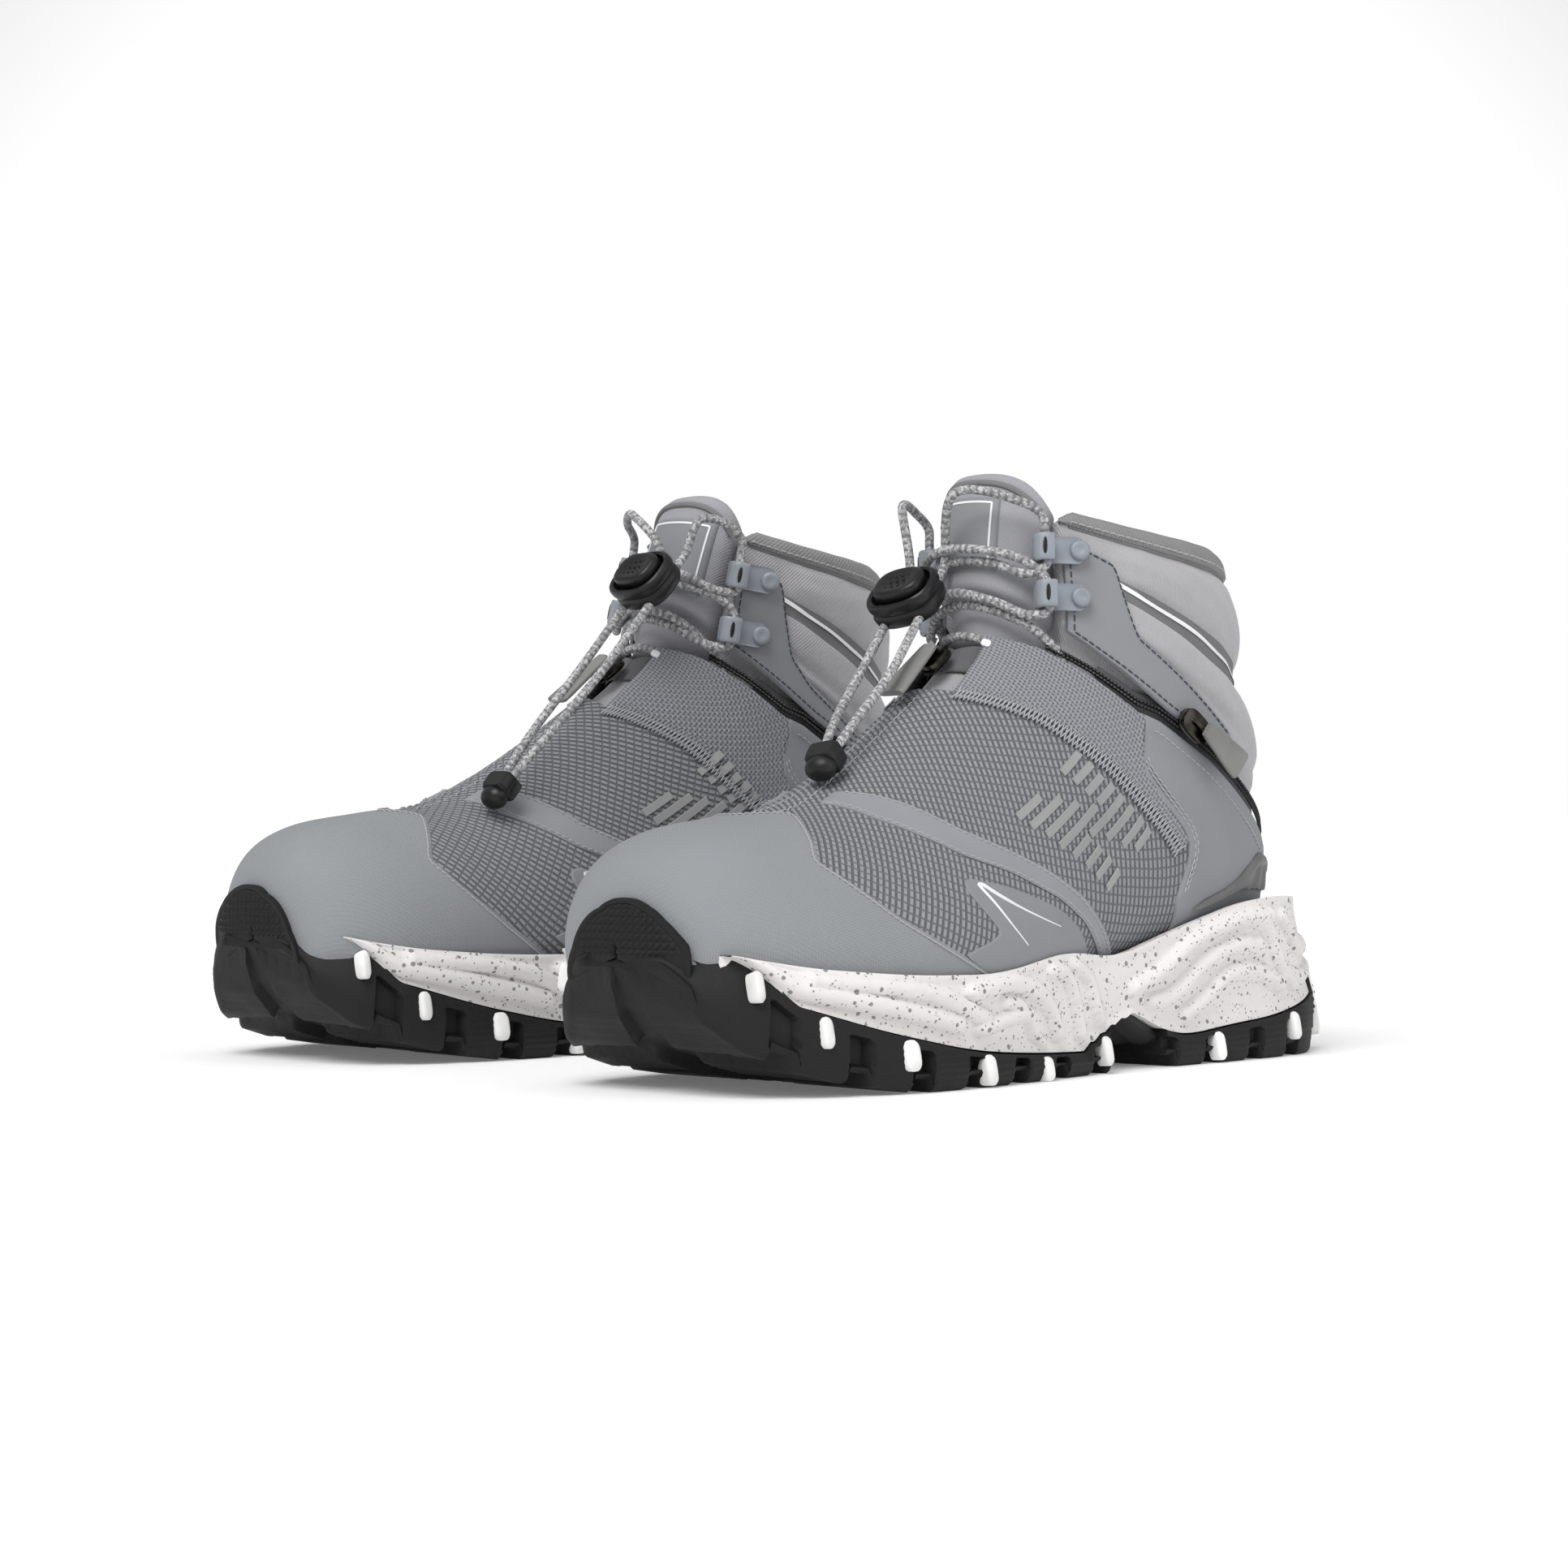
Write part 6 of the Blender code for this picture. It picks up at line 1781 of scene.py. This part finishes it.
class BOOT_OT_lace(BootOperator, bpy.types.Operator):
    """Make the elastic lace, the cord lock and the end clip"""

    bl_idname = "boot.lace"
    bl_label = "Lace, lock and clip"
    makers = (make_lace, make_lock, make_clip)


class BOOT_OT_stage(bpy.types.Operator):
    """Set the camera, the floor, the backdrop and the studio lights"""

    bl_idname = "boot.stage"
    bl_label = "Camera and stage"

    def execute(self, context):
        scene = context.scene
        azimuth, height = math.radians(46.12), 0.09553
        far = sizes().camera_distance
        lens = bpy.data.cameras.new("camera")
        lens.sensor_width = 36.0
        lens.lens = 88.28
        lens.shift_x, lens.shift_y = 0.0047, -0.0077
        lens.clip_start, lens.clip_end = 0.05, 50.0
        camera = bpy.data.objects.new("camera", lens)
        camera.location = (far * math.sin(azimuth), -far * math.cos(azimuth), height)
        camera.rotation_euler = (math.pi / 2, 0.0, azimuth)
        scene.collection.objects.link(camera)
        scene.camera = camera
        plane = bpy.data.meshes.new("floor")
        half = 6.0
        plane.from_pydata([(-half, -half, 0), (half, -half, 0), (half, half, 0), (-half, half, 0)], [],
                          [(0, 1, 2, 3)])
        floor = bpy.data.objects.new("floor", plane)
        paint = bpy.data.materials.new("floor_paint")
        paint.use_nodes = True
        shader = paint.node_tree.nodes["Principled BSDF"]
        shader.inputs["Base Color"].default_value = (0.9, 0.9, 0.9, 1.0)
        shader.inputs["Emission Color"].default_value = (1.0, 1.0, 1.0, 1.0)
        shader.inputs["Emission Strength"].default_value = 0.12
        shader.inputs["Roughness"].default_value = 0.9
        shader.inputs["Specular IOR Level"].default_value = 0.1
        plane.materials.append(paint)
        scene.collection.objects.link(floor)
        world = bpy.data.worlds.new("studio")
        world.use_nodes = True
        n = Nodes(world.node_tree)
        behind = (-math.sin(azimuth), math.cos(azimuth), 0.0)
        facing = n.add("VectorMath", n.add("TexCoord").outputs["Generated"], behind, operation="DOT_PRODUCT")
        glow = n.add("MapRange", facing.outputs["Value"], 0.93, 0.97, 0.45, 1.0).outputs[0]
        world.node_tree.links.new(glow, world.node_tree.nodes["Background"].inputs[1])
        world.node_tree.nodes["Background"].inputs[0].default_value = (1.0, 1.0, 1.0, 1.0)
        scene.world = world
        for name, tilt, turn, softness, strength in (("key", 38, 20, 40, 2.3), ("fill", 66, 100, 50, 0.6)):
            light = bpy.data.lights.new(name, "SUN")
            light.angle = math.radians(softness)
            light.energy = strength
            lamp = bpy.data.objects.new(name, light)
            lamp.rotation_euler = (math.radians(tilt), 0.0, math.radians(turn))
            scene.collection.objects.link(lamp)
        scene.view_settings.view_transform = "Standard"
        return {"FINISHED"}


OPERATORS = (
    BOOT_OT_looks, BOOT_OT_lace, BOOT_OT_sole, BOOT_OT_outsole, BOOT_OT_vamp, BOOT_OT_quarter,
    BOOT_OT_bootie,
    BOOT_OT_straps, BOOT_OT_zips, BOOT_OT_stage,
)


class BOOT_PT_panel(bpy.types.Panel):
    """The boots' sizes, colours and steps"""

    bl_label = "Hiking Boots"
    bl_idname = "BOOT_PT_panel"
    bl_space_type = "VIEW_3D"
    bl_region_type = "UI"
    bl_category = "Boots"

    def draw(self, context):
        for group in (context.scene.boot_sizes, context.scene.boot_colours):
            for key in group.__annotations__:
                self.layout.prop(group, key)
        for operator in OPERATORS:
            self.layout.operator(operator.bl_idname)


CLASSES = (BootSizes, BootColours, *OPERATORS, BOOT_PT_panel)


def register():
    """Adds the settings, the operators and the panel."""
    for item in CLASSES:
        bpy.utils.register_class(item)
    bpy.types.Scene.boot_sizes = bpy.props.PointerProperty(type=BootSizes)
    bpy.types.Scene.boot_colours = bpy.props.PointerProperty(type=BootColours)


def unregister():
    """Takes everything away again."""
    del bpy.types.Scene.boot_colours
    del bpy.types.Scene.boot_sizes
    for item in reversed(CLASSES):
        bpy.utils.unregister_class(item)


def main():
    """Runs every step."""
    register()
    bpy.ops.boot.stage()
    for operator in OPERATORS[:-1]:
        step = operator.bl_idname.split(".")[1]
        getattr(bpy.ops.boot, step)()


if __name__ == "__main__":
    main()
